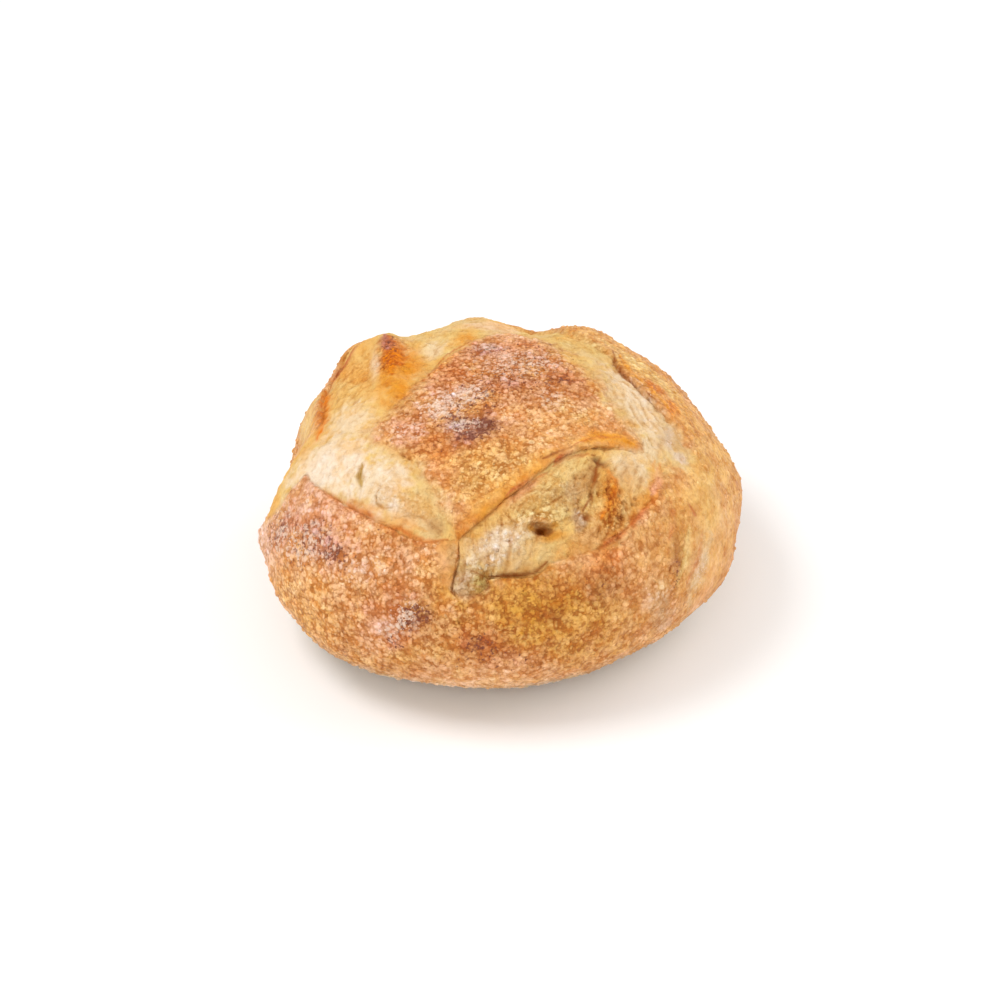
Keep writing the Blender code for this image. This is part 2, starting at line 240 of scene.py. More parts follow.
# narrow grooves: depth, half width, then the run, all in mm
GROOVES = (
    (1.5, 0.9, ((-74, -51), (-74.6, -58), (-73, -64))),
    (1.0, 0.55, ((-63, -67), (-65.5, -71), (-65, -75), (-61, -79), (-57, -80))),
    (0.7, 0.5, ((-57, -63), (-54, -61.6), (-51, -65))),
    (0.8, 0.45, ((-56, -85), (-51, -84.6), (-46, -86), (-40, -89))),
    (1.0, 0.6, ((-54, -51), (-51, -53), (-49, -55.5))),
    (1.2, 0.7, ((-37, -93), (-33, -95), (-30, -99))),
    (1.4, 0.9, ((-5, -118.4), (4, -118.2), (12, -117.8), (20, -116.4), (28, -110.6))),
    (0.9, 0.8, ((-23, -114), (-24.8, -119), (-25.4, -124), (-22, -125.8))),
    (0.6, 0.7, ((-22, -125.8), (-16, -126), (-10, -125.5), (-5.6, -122.8))),
    (0.6, 0.7, ((-22.5, -116), (-16, -115), (-11, -116.8), (-7, -119))),
    (1.0, 0.6, ((53, -70), (51, -75), (48, -80))),
    (0.7, 0.5, ((3, -90), (8, -94), (13, -99))),
    (0.6, 0.5, ((-98, -22), (-88, -20), (-80, -26))),
    (0.6, 0.5, ((30, -105), (38, -101), (45, -100))),
    (0.6, 0.6, ((78, 0), (86, -18), (84, -34))),
)


def outline(stations):
    """The closed line through the stations, as rows of u, v, lift, drop, step width and
    colour width.  It is smooth at every station that isn't a corner."""
    rows = np.array([s[:6] for s in stations]) * MM
    corner = [CORNER in s[6:] for s in stations]
    count = len(rows)
    line = []
    for i in range(count):
        after = (i + 1) % count
        here, there = rows[i], rows[after]
        before = here if corner[i] else rows[i - 1]
        beyond = there if corner[after] else rows[(i + 2) % count]
        reach = [max(math.dist(a[:2], b[:2]), 1e-6) ** 0.5
                 for a, b in ((before, here), (here, there), (there, beyond))]
        leave = arrive = there - here
        if not corner[i]:
            leave = ((here - before) / reach[0] - (there - before) / (reach[0] + reach[1])
                     + (there - here) / reach[1]) * reach[1]
        if not corner[after]:
            arrive = ((there - here) / reach[1] - (beyond - here) / (reach[1] + reach[2])
                      + (beyond - there) / reach[2]) * reach[1]
        parts = max(3, int(math.dist(here[:2], there[:2]) / OUTLINE_STEP))
        for t in np.arange(parts) / parts:
            share = 3 * t**2 - 2 * t**3
            row = here + (there - here) * share
            row[:2] += ((t**3 - 2 * t**2 + t) * leave + (t**3 - t**2) * arrive)[:2]
            line.append(row)
    return np.array(line)


def distance_to(places, line):
    """Distance from each place to a closed line (positive inside), the line's values at the
    nearest point, and the way to that point."""
    start, end = line, np.roll(line, -1, axis=0)
    along = (end - start)[:, :2]
    squared = (along**2).sum(1)
    rise = np.where(along[:, 1] == 0, 1, along[:, 1])
    gaps, values, ways = [], [], []
    for first in range(0, len(places), CHUNK):
        part = places[first:first + CHUNK]
        away = part[:, None, :] - start[None, :, :2]
        t = np.clip((away * along).sum(2) / squared, 0, 1)
        off = away - t[..., None] * along
        gap = (off**2).sum(2)
        index, nearest = np.arange(len(part)), gap.argmin(1)
        share = t[index, nearest, None]
        values.append(start[nearest, 2:] * (1 - share) + end[nearest, 2:] * share)
        ways.append(-off[index, nearest])
        v = part[:, 1, None]
        meets = start[:, 0] + (v - start[:, 1]) / rise * along[:, 0]
        crosses = ((start[:, 1] > v) != (end[:, 1] > v)) & (part[:, 0, None] < meets)
        side = np.where(crosses.sum(1) % 2 == 1, 1, -1)
        gaps.append(side * np.sqrt(gap[index, nearest]))
    return np.concatenate(gaps), np.concatenate(values), np.concatenate(ways)


def swell(places, rows):
    """Height of a set of smooth swells and hollows at each place of the map."""
    total = np.zeros(len(places))
    for u, v, along, across, turn, height in rows:
        total += height * MM * patch(places, u, v, along, across, turn)
    return total


def patch(places, u, v, along, across, turn):
    """A soft oval spot on the map, 1 in its middle."""
    bearing = math.radians(turn)
    du, dv = places[:, 0] - u * MM, places[:, 1] - v * MM
    x = (du * math.cos(bearing) + dv * math.sin(bearing)) / (along * MM)
    y = (dv * math.cos(bearing) - du * math.sin(bearing)) / (across * MM)
    return np.exp(-x**2 - y**2)


def beside_run(places, run):
    """Distance from each place to an open run, negative on its right, and the share of the
    run that lies before the nearest point."""
    run = np.array(run) * MM
    lengths = np.linalg.norm(np.diff(run, axis=0), axis=1)
    passed = np.concatenate([[0], np.cumsum(lengths)]) / lengths.sum()
    best = np.full(len(places), 1e9)
    gap, share = np.zeros(len(places)), np.zeros(len(places))
    for start, end, first, last in zip(run[:-1], run[1:], passed[:-1], passed[1:]):
        along = end - start
        t = np.clip((places - start) @ along / (along @ along), 0, 1)
        off = places - (start + t[:, None] * along)
        side = np.where(along[0] * off[:, 1] - along[1] * off[:, 0] > 0, 1, -1)
        length = np.linalg.norm(off, axis=1)
        closer = length < best
        gap = np.where(closer, side * length, gap)
        share = np.where(closer, first + t * (last - first), share)
        best = np.minimum(best, length)
    return gap, share


def strands(places):
    """Height of the strands and folds that stand across the tears."""
    total = np.zeros(len(places))
    for height, left, right, run in STRANDS:
        gap, share = beside_run(places, run)
        reach = np.where(gap > 0, left, right) * MM
        arch = np.sin(math.pi * (0.12 + 0.76 * share)) ** 0.6
        total += height * MM * arch * np.exp(-((gap / reach) ** 2))
    return total


def grooves(places):
    """Depth of the narrow grooves, as a height below nought."""
    total = np.zeros(len(places))
    for depth, half_width, run in GROOVES:
        gap, share = beside_run(places, run)
        arch = np.sin(math.pi * (0.08 + 0.84 * share)) ** 0.5
        total -= depth * MM * arch * np.exp(-np.abs(gap / (half_width * MM)) ** 2.5)
    return total


def fibres(places):
    """Pulled fibres of the torn crumb, about -1 to 1, and how strongly they show."""
    total, weights = np.zeros(len(places)), np.full(len(places), 0.15)
    shown = np.zeros(len(places))
    for u, v, along, across, turn, strength in TEARS:
        lie = turn if along > across else 0  # a spot that is wide across its fibres lies square
        weight = patch(places, u, v, along, across, lie)
        bearing = math.radians(turn)
        x = places[:, 0] * math.cos(bearing) + places[:, 1] * math.sin(bearing)
        y = places[:, 1] * math.cos(bearing) - places[:, 0] * math.sin(bearing)
        bend = 0.0012 * np.sin(x / 0.006)
        pulled = [Vector((a / 0.009, b / 0.0023, turn)) for a, b in zip(x, y + bend)]
        total += weight * grain(pulled, 1.0, 3)
        shown += weight * strength
        weights += weight
    return total / weights, shown / weights


def soft_step(x, width):
    """A smooth step from 0 to 1, centred on 0 and of the given width."""
    t = np.clip(x / width + 0.5, 0, 1)
    return t * t * (3 - 2 * t)


def grain(points, size, layers=2, shift=0.0):
    """Smooth noise, about -1 to 1, in lumps of the given size."""
    offset = Vector((shift, shift * 0.7, -shift))
    return np.array([noise.fractal(p / size + offset, 1.0, 2.0, layers) for p in points])


def layered(points, *layers):
    """Several noises laid over each other, each given as its height, lump size and shift."""
    return sum(height * grain(points, size, shift=shift) for height, size, shift in layers)


def cells(points, size, shift=0.0):
    """How far each point is from the nearest of a scatter of spots, in spot spacings."""
    offset = Vector((shift, -shift, shift * 0.3))
    return np.array([noise.voronoi(p / size + offset)[0][0] for p in points])


def smooth_loaf(directions, sizes):
    """Points of the smooth loaf along each direction, the normals there, and how far each
    point is from the loaf's centre."""
    a = sizes.long_axis_turn
    turn = np.array([[math.cos(a), -math.sin(a), 0], [math.sin(a), math.cos(a), 0], [0, 0, 1]])
    local = directions @ turn
    upper = local[:, 2] > 0
    belly, height = sizes.belly_height, sizes.height
    rise = np.where(upper, height - belly, belly + sizes.base_sink)
    power = sizes.squareness
    plan = np.hypot(local[:, 0] / sizes.half_width, local[:, 1] / sizes.half_depth)
    radius = (plan**power + (np.abs(local[:, 2]) / rise) ** power) ** (-1 / power)
    point = local * radius[:, None]
    plan = np.maximum(plan * radius, 1e-6)
    normal = np.stack([
        plan ** (power - 2) * point[:, 0] / sizes.half_width**2,
        plan ** (power - 2) * point[:, 1] / sizes.half_depth**2,
        np.sign(point[:, 2]) * np.abs(point[:, 2]) ** (power - 1) / rise**power,
    ], axis=1)
    normal /= np.linalg.norm(normal, axis=1)[:, None]
    return point @ turn.T + [0, 0, belly], normal @ turn.T, radius


def to_map(directions):
    """The places on the crust map of directions from the loaf's centre."""
    polar = np.arccos(np.clip(directions[:, 2], -1, 1))
    flat = np.maximum(np.hypot(directions[:, 0], directions[:, 1]), 1e-9)
    return directions[:, :2] * (polar * MAP_RADIUS / flat)[:, None]


def from_map(places):
    """The directions of places on the crust map."""
    polar = np.hypot(places[:, 0], places[:, 1]) / MAP_RADIUS
    bearing = np.arctan2(places[:, 1], places[:, 0])
    return np.stack([np.sin(polar) * np.cos(bearing), np.sin(polar) * np.sin(bearing),
                     np.cos(polar)], axis=1)


class Edges:
    """Where places lie from the scored edges: `gap` is the distance into the crust, and it is
    negative on the crumb; the rest are the nearest edge's own values."""

    def __init__(self, places, scale):
        panel, on_panel, way_in = distance_to(places, outline(PANEL))
        opening, on_opening, way_out = distance_to(places, outline(OPENING))
        nearer = panel > -opening
        self.gap = np.where(nearer, panel, -opening) * scale
        pick = nearer[:, None]
        self.lift, self.drop, self.width, self.fade = np.where(pick, on_panel, on_opening).T
        way = np.where(pick, way_in, way_out)
        length = np.maximum(np.linalg.norm(way, axis=1), 1e-9)[:, None]
        self.inward = way / length * np.where(self.gap > 0, -1, 1)[:, None] / scale[:, None]
        self.crisp = np.clip((SOFT_WIDTH - self.width) / (SOFT_WIDTH - CRISP_WIDTH), 0, 1)


def ragged(edges, points):
    """Fray the scored edges a little, so that no edge runs as a drawn line."""
    fray = layered(points, (0.55, 0.009, 0), (0.35, 0.0026, 5))
    edges.gap = edges.gap + fray * MM * np.exp(-((edges.gap / 0.012) ** 2))
    edges.drop = edges.drop * np.clip(1 + 0.8 * grain(points, 0.011, shift=6), 0.3, 1.7)
    return edges


def crumb_form(places, edges):
    """Height of the crumb over the smooth loaf, without its fine texture."""
    sunken = edges.drop * np.exp(-((np.minimum(edges.gap, 0) / CRUMB_REACH) ** 2))
    under = np.maximum(edges.gap, 0) * (0.14 + 0.35 * edges.crisp)
    own = np.clip(-edges.gap / (2 * MM) + 0.6, 0, 1)
    return (swell(places, SWELLS) + own * (swell(places, POCKETS) + strands(places))
            - sunken - np.minimum(under, CRUMB_UNDER))


def crust_form(places, edges):
    """Height of the crust over the smooth loaf, and how far each place is drawn back along
    the loaf to undercut its lip."""
    top = swell(places, SWELLS) + edges.lift * np.exp(-((edges.gap / LIP_REACH) ** 2))
    inset = np.clip(LIP_ROUND - edges.gap, 0, LIP_ROUND)
    top -= edges.crisp * (LIP_ROUND - np.sqrt(np.maximum(LIP_ROUND**2 - inset**2, 0)))
    floor = crumb_form(places, edges) - (1.2 + 2.6 * edges.crisp) * MM
    begin = 0.5 * edges.width * (1 - edges.crisp)
    fall = np.clip((begin - edges.gap) / edges.width, 0, 1)
    fall = fall**2 * (1 - edges.crisp) + fall * edges.crisp
    height = top + (floor - top) * fall
    past = np.maximum(-edges.gap, 0)
    keep = np.exp(-((past / CRUST_TAIL) ** 2))
    draw = edges.crisp * keep * (past + LIP_UNDERCUT * np.sin(0.5 * math.pi * fall))
    return height, draw


# ---- Meshes ----------------------------------------------------------------------------
def ball(cuts):
    """A ball of even square faces, from a subdivided cube."""
    body = bmesh.new()
    bmesh.ops.create_cube(body, size=2.0)
    bmesh.ops.subdivide_edges(body, edges=body.edges, cuts=cuts - 1, use_grid_fill=True)
    for vertex in body.verts:
        vertex.co = Vector([math.tan(c * math.pi / 4) for c in vertex.co]).normalized()
    return body


def directions_of(body):
    """Directions of the body's corners from its centre, in the order of their numbers."""
    body.verts.ensure_lookup_table()
    body.verts.index_update()
    found = np.array([v.co for v in body.verts])
    return found / np.linalg.norm(found, axis=1)[:, None]


def split_where(body, close):
    """Halve the sides between the marked corners."""
    sides = [e for e in body.edges if close[e.verts[0].index] and close[e.verts[1].index]]
    bmesh.ops.subdivide_edges(body, edges=sides, cuts=1, use_grid_fill=True)
    bmesh.ops.triangulate(body, faces=[f for f in body.faces if len(f.verts) > 4])


def edges_of(body, sizes):
    """The body's corners as places of the map, and how they lie to the scored edges."""
    directions = directions_of(body)
    places = to_map(directions)
    scale = smooth_loaf(directions, sizes)[2] / MAP_RADIUS
    return places, Edges(places, scale)


def vectors(points):
    return [Vector(p) for p in points]


def plan_shift(sizes):
    """The move that brings the loaf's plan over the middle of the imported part's."""
    body = ball(24)
    directions = directions_of(body)
    body.free()
    point, normal, _ = smooth_loaf(directions, sizes)
    point += normal * swell(to_map(directions), SWELLS)[:, None]
    own = (point.min(axis=0) + point.max(axis=0)) / 2
    low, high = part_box("boule")
    middle = (np.array(low) + np.array(high)) / 2
    return np.array([middle[0] - own[0], middle[1] - own[1], low.z])


def finish_piece(name, body, material, points):
    """Put the points on the body's corners, and make the body an object of the loaf, with
    its faces in the order of their corners."""
    for vertex, point in zip(body.verts, points):
        vertex.co = point
    body.verts.index_update()
    ordered = sorted(body.faces, key=lambda face: sorted(v.index for v in face.verts))
    for number, face in enumerate(ordered):
        face.index = number
    body.faces.sort()
    bmesh.ops.recalc_face_normals(body, faces=body.faces)
    mesh = bpy.data.meshes.new(name)
    body.to_mesh(mesh)
    body.free()
    mesh.shade_smooth()
    mesh.materials.append(material)
    return add_object(name, mesh)


def add_object(name, data):
    """A new object of the scene, at the origin."""
    made = bpy.data.objects.new(name, data)
    bpy.context.scene.collection.objects.link(made)
    return made


def paint(mesh, layers):
    """Store the named layers of one number, or one colour, for each corner of a mesh."""
    for name, values in layers.items():
        kind, field = ("FLOAT", "value") if values.ndim == 1 else ("FLOAT_COLOR", "color")
        layer = mesh.attributes.new(name, kind, "POINT")
        layer.data.foreach_set(field, np.ascontiguousarray(values, np.float32).ravel())


def rgb(red, green, blue):
    """A linear colour, with full alpha, from the eight-bit values a painter would mix."""
    channels = np.array([red, green, blue]) / 255
    linear = np.where(channels > 0.04045, ((channels + 0.055) / 1.055) ** 2.4, channels / 12.92)
    return np.append(linear, 1.0)


# ---- Bake: where each colour of the loaf lies --------------------------------------------
PALETTE = {
    "chalk": rgb(244, 226, 204),
    "cream": rgb(240, 216, 184),
    "ivory": rgb(228, 194, 146),
    "straw": rgb(230, 192, 118),
    "honey": rgb(237, 179, 95),
    "gold": rgb(222, 161, 93),
    "tan": rgb(198, 148, 88),
    "toast": rgb(210, 143, 81),
    "amber": rgb(228, 148, 34),
    "orange": rgb(228, 125, 8),
    "copper": rgb(214, 124, 52),
    "russet": rgb(196, 100, 50),
    "brown": rgb(160, 88, 30),
    "olive gold": rgb(208, 140, 40),
    "olive": rgb(190, 150, 70),
    "rose": rgb(226, 156, 114),
    "mauve": rgb(190, 120, 100),
    "blush": rgb(244, 200, 170),
    "peach": rgb(246, 188, 136),
    # dark: burnt crust on the panel, and painted shade in the crumb's pits and holes
    "dark": rgb(104, 52, 20),
    # hole: painted shade deep in the hole under the strand
    "hole": rgb(150, 78, 0),
    "char": rgb(146, 84, 52),
    "smoke": rgb(164, 134, 122),
    "ash": rgb(228, 206, 188),
    # rim: painted light, the bounce of the white floor on the loaf's lowest band
    "rim": rgb(204, 186, 150),
    "fawn": rgb(204, 168, 130),
    "base": rgb(196, 156, 112),
}

# colour, u, v, reach along, reach across, turn, strength
CRUST_BAKE = (
    ("peach", -98, -88, 40, 30, -36, 0.7),  # front left
    ("rose", 4, 20, 58, 46, 0, 0.55),  # the panel
    ("peach", 34, -34, 30, 20, 20, 0.5),
    ("rose", -56, -34, 18, 12, -20, 0.8),
    ("blush", -33, -10, 14, 12, 30, 0.55),
    ("blush", 8, 38, 22, 14, 10, 0.45),
    ("orange", -34, -56, 9, 18, 25, 0.45),
    ("honey", 0, -66, 32, 20, 30, 0.6),
    ("straw", -2, -70, 24, 10, 30, 0.4),
    ("honey", 40, -30, 26, 14, 20, 0.6),
    ("straw", 40, -21, 13, 8, -30, 0.5),
    ("peach", 54, -16, 16, 14, 0, 0.35),
    ("orange", 14, 46, 16, 7, 0, 0.45),
    ("blush", -19, -4, 10, 6, 20, 0.6),
    ("toast", 18, -14, 14, 10, 0, 0.45),
    ("amber", 57, 13, 4.5, 11, 0, 0.85),
    ("orange", -34, 28, 22, 3.6, 56, 0.85),
    ("orange", -24, 20, 12, 10, 50, 0.35),
    ("mauve", -14, -34, 18, 11, 10, 0.55),
    ("toast", 14, 16, 44, 34, 0, 0.5),
    ("copper", -30, 6, 22, 8, 55, 0.35),
    ("copper", 34, 22, 20, 10, -30, 0.25),
    ("mauve", -8, 44, 10, 6, 0, 0.75),
    ("mauve", 10, 4, 20, 6, 15, 0.45),
    ("russet", 42, 9, 12, 5, 10, 0.3),
    ("ash", -6, 49, 5, 3.4, 0, 0.75),
    ("mauve", -18, -44, 14, 9, 10, 0.65),
    ("char", -9, -40, 12, 7, 15, 0.5),
    ("dark", -9, -38, 7, 4.5, 10, 0.6),
    ("smoke", -23, -35, 7, 4.5, 20, 0.95),
    ("amber", 64, -37, 18, 5.0, 12, 0.9),  # end of the ear
    ("amber", 10, -75, 40, 4.2, 38, 0.9),  # edge of the ear
    ("amber", -22, -101, 6, 4, 0, 0.7),
    ("tan", -24, -112, 3.2, 15, 0, 0.95),  # beside the crossing
    ("olive gold", 12, -130, 44, 15, 0, 0.85),  # front
    ("olive gold", -33, -120, 10, 9, 0, 0.7),
    ("peach", -54, -106, 18, 9, -20, 0.6),
    ("olive gold", 40, -136, 40, 18, 10, 0.7),
    ("olive gold", 8, -150, 60, 10, 0, 0.3),
    ("peach", -20, -168, 90, 14, 0, 0.5),
    ("orange", 60, -104, 18, 6, 35, 0.5),
    ("brown", 58, -116, 13, 8, 30, 0.45),
    ("brown", 33, -134, 9, 5, 10, 0.55),
    ("copper", 80, -102, 9, 6, 30, 0.3),
    ("honey", 87, -97, 14, 13, 0, 0.75),
    ("amber", 116, -32, 6, 20, 12, 0.55),
    ("rose", 129, -16, 9, 14, 10, 0.55),
    ("mauve", 113, 14, 4, 9, 10, 0.8),
    ("rose", 124, 2, 8, 12, 0, 0.6),
    ("toast", 100, -58, 9, 7, -20, 0.5),
    ("brown", 104, -80, 5.4, 14, 12, 1.0),
    ("rose", 86, -102, 16, 14, 20, 0.25),
    ("honey", 114, -50, 30, 34, 0, 0.75),
    ("straw", 124, -20, 16, 40, 0, 0.6),
    ("ivory", 98, -107, 10, 9, 0, 0.5),
    ("fawn", 109, -113, 11, 8, 0, 0.5),
    ("peach", 134, -30, 9, 22, 0, 0.45),
    ("ivory", 124, -80, 8, 18, 10, 0.8),
    ("honey", 118, 20, 26, 30, 0, 0.55),
    ("rose", -92, -58, 24, 16, -40, 0.6),
    ("blush", -112, -66, 26, 26, -30, 0.6),
    ("copper", -126, -66, 5, 16, -10, 0.5),
    ("blush", -138, -48, 14, 20, 0, 0.45),
    ("rose", -100, -80, 24, 14, -38, 0.6),
    ("mauve", -100, -77, 22, 9, -38, 0.9),
    ("mauve", -120, -56, 12, 9, -30, 0.75),
    ("russet", -110, -64, 9, 6, -40, 0.4),
    ("blush", -143, -38, 8, 10, 0, 0.6),
    ("blush", -80, -102, 16, 6, -25, 0.35),
    ("gold", -86, -113, 32, 14, -20, 0.7),
    ("rose", -62, -126, 22, 12, -10, 0.6),
    ("blush", -66, -130, 8, 4, 0, 0.6),
    ("russet", -53, -124, 11, 7, 0, 0.3),
    ("char", -46, -130, 8, 5.5, -10, 0.65),
    ("russet", -14, -145, 14, 7, 0, 0.75),
    ("char", -14, -147, 7, 3.6, 0, 0.35),
    ("russet", 4, -155, 18, 6, 0, 0.35),
    ("russet", -61, -138, 9, 5, 0, 0.6),
    ("russet", -137, -104, 20, 6, 30, 0.5),
    ("honey", -120, -92, 24, 30, 30, 0.65),
    ("straw", -115, 28, 11, 30, 0, 0.85),  # left of the upper left tear
    ("honey", 80, 46, 42, 18, -49, 0.9),  # right rear flap
    ("straw", 80, 46, 34, 10, -49, 0.75),
    ("orange", 89, 23, 7, 4.4, -50, 0.8),
    ("orange", 97, 7, 3.8, 10, 5, 0.9),
    ("russet", 113, 21, 3.4, 8, 10, 0.85),
    ("honey", 126, 0, 14, 34, 15, 0.8),
    ("peach", 40, 130, 44, 14, 0, 0.5),  # the back
    ("rose", -60, 126, 36, 20, 30, 0.7),
    ("russet", 14, 146, 14, 7, 0, 0.7),
    ("russet", -84, 116, 10, 7, 40, 0.6),
    ("olive gold", -20, 150, 70, 16, 0, 0.5),
    ("olive gold", 110, 90, 30, 30, -40, 0.5),
    ("char", 84, 118, 9, 6, -40, 0.6),
)

CRUMB_BAKE = (
    ("chalk", -92, -42, 26, 17, -38, 0.95),  # left tear
    ("chalk", -62, -66, 16, 14, -40, 0.7),
    ("cream", -50, -84, 16, 5, -38, 0.6),
    ("honey", -42, -84, 10, 5, -33, 0.35),
    ("honey", -60, -42, 13, 4, -45, 0.6),
    ("honey", -94, -58, 14, 3, -50, 0.55),
    # painted shade in a hollow and along a groove of the left tear
    ("tan", -33, -95, 6, 4, -25, 0.75),
    ("brown", -51, -53, 5, 1.3, -40, 0.8),
    ("honey", -126, -10, 9, 16, 0, 0.85),
    ("honey", -132, -32, 10, 13, 0, 0.75),
    ("olive", -128, -4, 2, 3, 0, 0.6),
    ("straw", 34, -84, 46, 24, 38, 0.6),  # right tear
    ("honey", -84, 20, 34, 60, 0, 0.35),  # upper left
    ("cream", -84, -14, 13, 18, 0, 0.7),
    ("amber", -85, 47, 7, 18, 28, 0.8),
    ("honey", -84, 52, 11, 19, 28, 0.6),
    ("russet", -90, 63, 16, 3.0, 33, 0.9),
    ("honey", -109, 12, 5, 22, 0, 0.6),
    ("honey", -119, 8, 5, 9, 0, 0.7),
    ("honey", -64, 30, 13, 28, 0, 0.7),
    ("amber", -50, 34, 7, 18, 0, 0.75),
    ("cream", -72, 40, 2.8, 15, 0, 0.6),
    ("amber", -66, 20, 5, 14, 0, 0.85),
    ("amber", -58, 2, 8, 14, 0, 0.85),
    ("orange", -61, 40, 7.5, 20, 0, 1.0),  # the fold
    ("mauve", -63, 56, 3.0, 8, 0, 0.95),
    ("cream", -39, 52, 7, 12, -20, 0.55),
    ("amber", -20, 64, 6, 9, 10, 0.65),
    ("blush", -2, 80, 20, 6, 0, 0.5),
    ("ivory", 0, -108, 24, 8, 2, 0.75),
    ("cream", 2, -103, 15, 7, 24, 0.8),
    ("tan", 17, -115, 13, 4, 0, 0.55),
    ("fawn", -19, -121, 7, 7, 0, 0.8),
    ("tan", -16, -124, 8, 3, 0, 0.6),
    ("olive", -10, -121.5, 6.5, 5, 20, 0.9),
    ("gold", 14, -84, 22, 7, 34, 0.55),
    ("straw", 14, -91, 12, 5, 24, 0.7),
    ("straw", 26, -77, 12, 4, 40, 0.5),
    ("rose", 14, -79, 12, 2.8, 38, 0.6),
    ("gold", 52, -96, 26, 9, 45, 0.85),
    ("fawn", 43, -76, 6, 10, -24, 0.5),
    ("tan", 46, -73, 6, 10, -24, 0.4),
    ("fawn", 44, -89, 5, 5, -10, 0.9),
    ("tan", 49, -68, 4, 9, -20, 0.6),
    ("tan", 30, -82, 9, 5, 20, 0.4),
    # painted shade in the pits at the pocket's head
    ("dark", 57.5, -53, 4.2, 3.4, -25, 0.95),
    ("amber", 29, -100, 9, 2.2, 16, 0.8),
    ("straw", 24, -88, 10, 4.4, 20, 0.75),
    ("gold", 22, -93.6, 8, 1.6, 0, 0.7),
    # painted shade: the hole under the strand and the two small pockets beside it are darkened
    ("hole", 24.2, -97.7, 6.2, 3.1, 2, 1.0),
    ("olive gold", 18, -97, 2.4, 1.5, 0, 0.8),
    ("olive gold", 31, -94.4, 2.6, 1.8, 30, 0.8),
    # painted shade in two small pockets
    ("brown", 49, -87, 2.6, 1.8, 20, 0.85),
    ("brown", 68, -81, 2.6, 2.0, 20, 0.9),
    ("cream", 74, -52, 9, 11, -20, 0.7),
    ("tan", 72, -60, 6, 12, -10, 0.5),
    # painted shade in the small holes
    ("dark", 76, -68, 1.1, 1.0, 0, 0.85),
    ("dark", 74, -72, 1.0, 1.0, 0, 0.85),
    ("dark", 81, -69, 1.0, 0.9, 0, 0.7),
    ("dark", 67, -68, 0.9, 1.4, 0, 0.85),
    ("amber", 61, -72, 6, 17, -4, 0.75),
    ("honey", 74, -66, 8, 14, 0, 0.4),
    ("ivory", 80, 2, 17, 40, 20, 0.9),  # upper right
    ("cream", 78, 8, 9, 30, 24, 0.75),
    ("cream", 82, -34, 10, 10, 0, 0.5),
    ("straw", 56, 58, 12, 14, 40, 0.6),
    ("ash", 96, -16, 2.6, 12, -8, 0.45),
    ("ash", 101, -29, 4.4, 3.4, 0, 0.7),
    ("fawn", 97, -18, 8, 10, 0, 0.5),
)

# burnt patches and floured patches: u, v, reach along, reach across, turn, strength
BURNT = (
    (-11, -39, 14, 9, 10, 1.2),
    (-29, -31, 7, 5, 20, 0.7),
    (-19, -46, 9, 4, 10, 0.8),
    (-20, -20, 20, 15, 30, 0.85),
    (-10, 42, 14, 7, 10, 0.9),
    (10, 8, 36, 20, 15, 0.7),
    (22, 44, 24, 14, -20, 0.5),
    (42, 8, 13, 8, 10, 0.45),
    (-56, -36, 14, 9, -20, 0.45),
    (-34, -54, 10, 14, 20, 0.4),
    (-100, -77, 24, 11, -40, 0.9),
    (-84, -94, 11, 6, -40, 0.6),
    (-126, -53, 14, 9, -20, 0.9),
    (-48, -129, 11, 7, -10, 1.2),
    (-62, -138, 10, 6, 0, 0.9),
    (-13, -147, 12, 6, 0, 0.9),
    (6, -156, 44, 7, 0, 0.6),
    (60, -110, 17, 9, 30, 0.55),
    (-62, 56, 5, 12, 0, 1.0),
    (114, 18, 5, 10, 0, 0.5),
    (106, -88, 5, 13, 8, 0.7),
    (-60, -90, 28, 5, -36, 0.4),
    (14, 146, 14, 7, 0, 0.8),
    (84, 118, 11, 7, -40, 0.8),
    (-84, 116, 14, 9, 40, 0.7),
)

FLOURED = (
    (-26, -14, 18, 13, 35, 1.0),
    (-34, -20, 10, 7, 20, 0.8),
    (-20, -37, 11, 6, 15, 0.85),
    (-19, -5, 9, 6, 20, 0.8),
    (-6, 46, 9, 5, 0, 0.9),
    (14, 24, 30, 16, 10, 0.75),
    (32, -12, 7, 12, 0, 0.5),
    (-54, -36, 14, 8, -20, 0.5),
    (-104, -75, 22, 9, -38, 0.8),
    (-74, -102, 14, 5, -20, 0.5),
    (-53, -128, 8, 6, 0, 1.0),
    (-64, -134, 7, 4, 0, 0.9),
    (-122, -54, 12, 10, 0, 0.7),
    (-143, -38, 7, 9, 0, 0.7),
    (-92, -42, 22, 12, -35, 0.35),
    (84, 2, 7, 26, 18, 0.5),
    (96, -16, 2.8, 12, -8, 0.6),
    (101, -29, 4, 4, 0, 0.9),
    (0, -109, 22, 8, 5, 0.35),
    (72, -50, 9, 9, 0, 0.3),
    (98, -107, 11, 9, 0, 0.2),
    (125, -78, 8, 18, 10, 0.5),
    (-56, 128, 34, 12, 25, 0.7),
    (50, 134, 20, 8, -20, 0.7),
    (120, 70, 12, 16, -30, 0.5),
)

# how much coarser than usual the skin is: u, v, reach along, reach across, turn, change
COARSE = (
    (0, 8, 58, 50, 0, 0.9),
    (-45, -36, 26, 22, 0, 0.4),
    (12, -74, 44, 6, 38, -0.75),
    (-2, -64, 30, 20, 0, 0.5),
    (-28, -112, 5, 18, 0, -0.7),
    (64, -38, 18, 7, 12, -0.6),
    (-76, -112, 74, 40, -20, 0.5),
    (20, -140, 60, 22, 0, 0.5),
    (-12, -120, 22, 9, 0, -0.3),
    (62, -112, 22, 12, 35, 0.25),
    (112, -50, 28, 60, 10, -0.25),
    (140, -70, 26, 50, 30, -0.3),
    (0, 165, 150, 60, 0, -0.35),
    (165, 20, 50, 90, 0, -0.3),
    (-170, 60, 40, 70, 20, -0.25),
    (82, 46, 40, 16, -49, -0.1),
    (-116, 22, 13, 40, 0, -0.6),
)

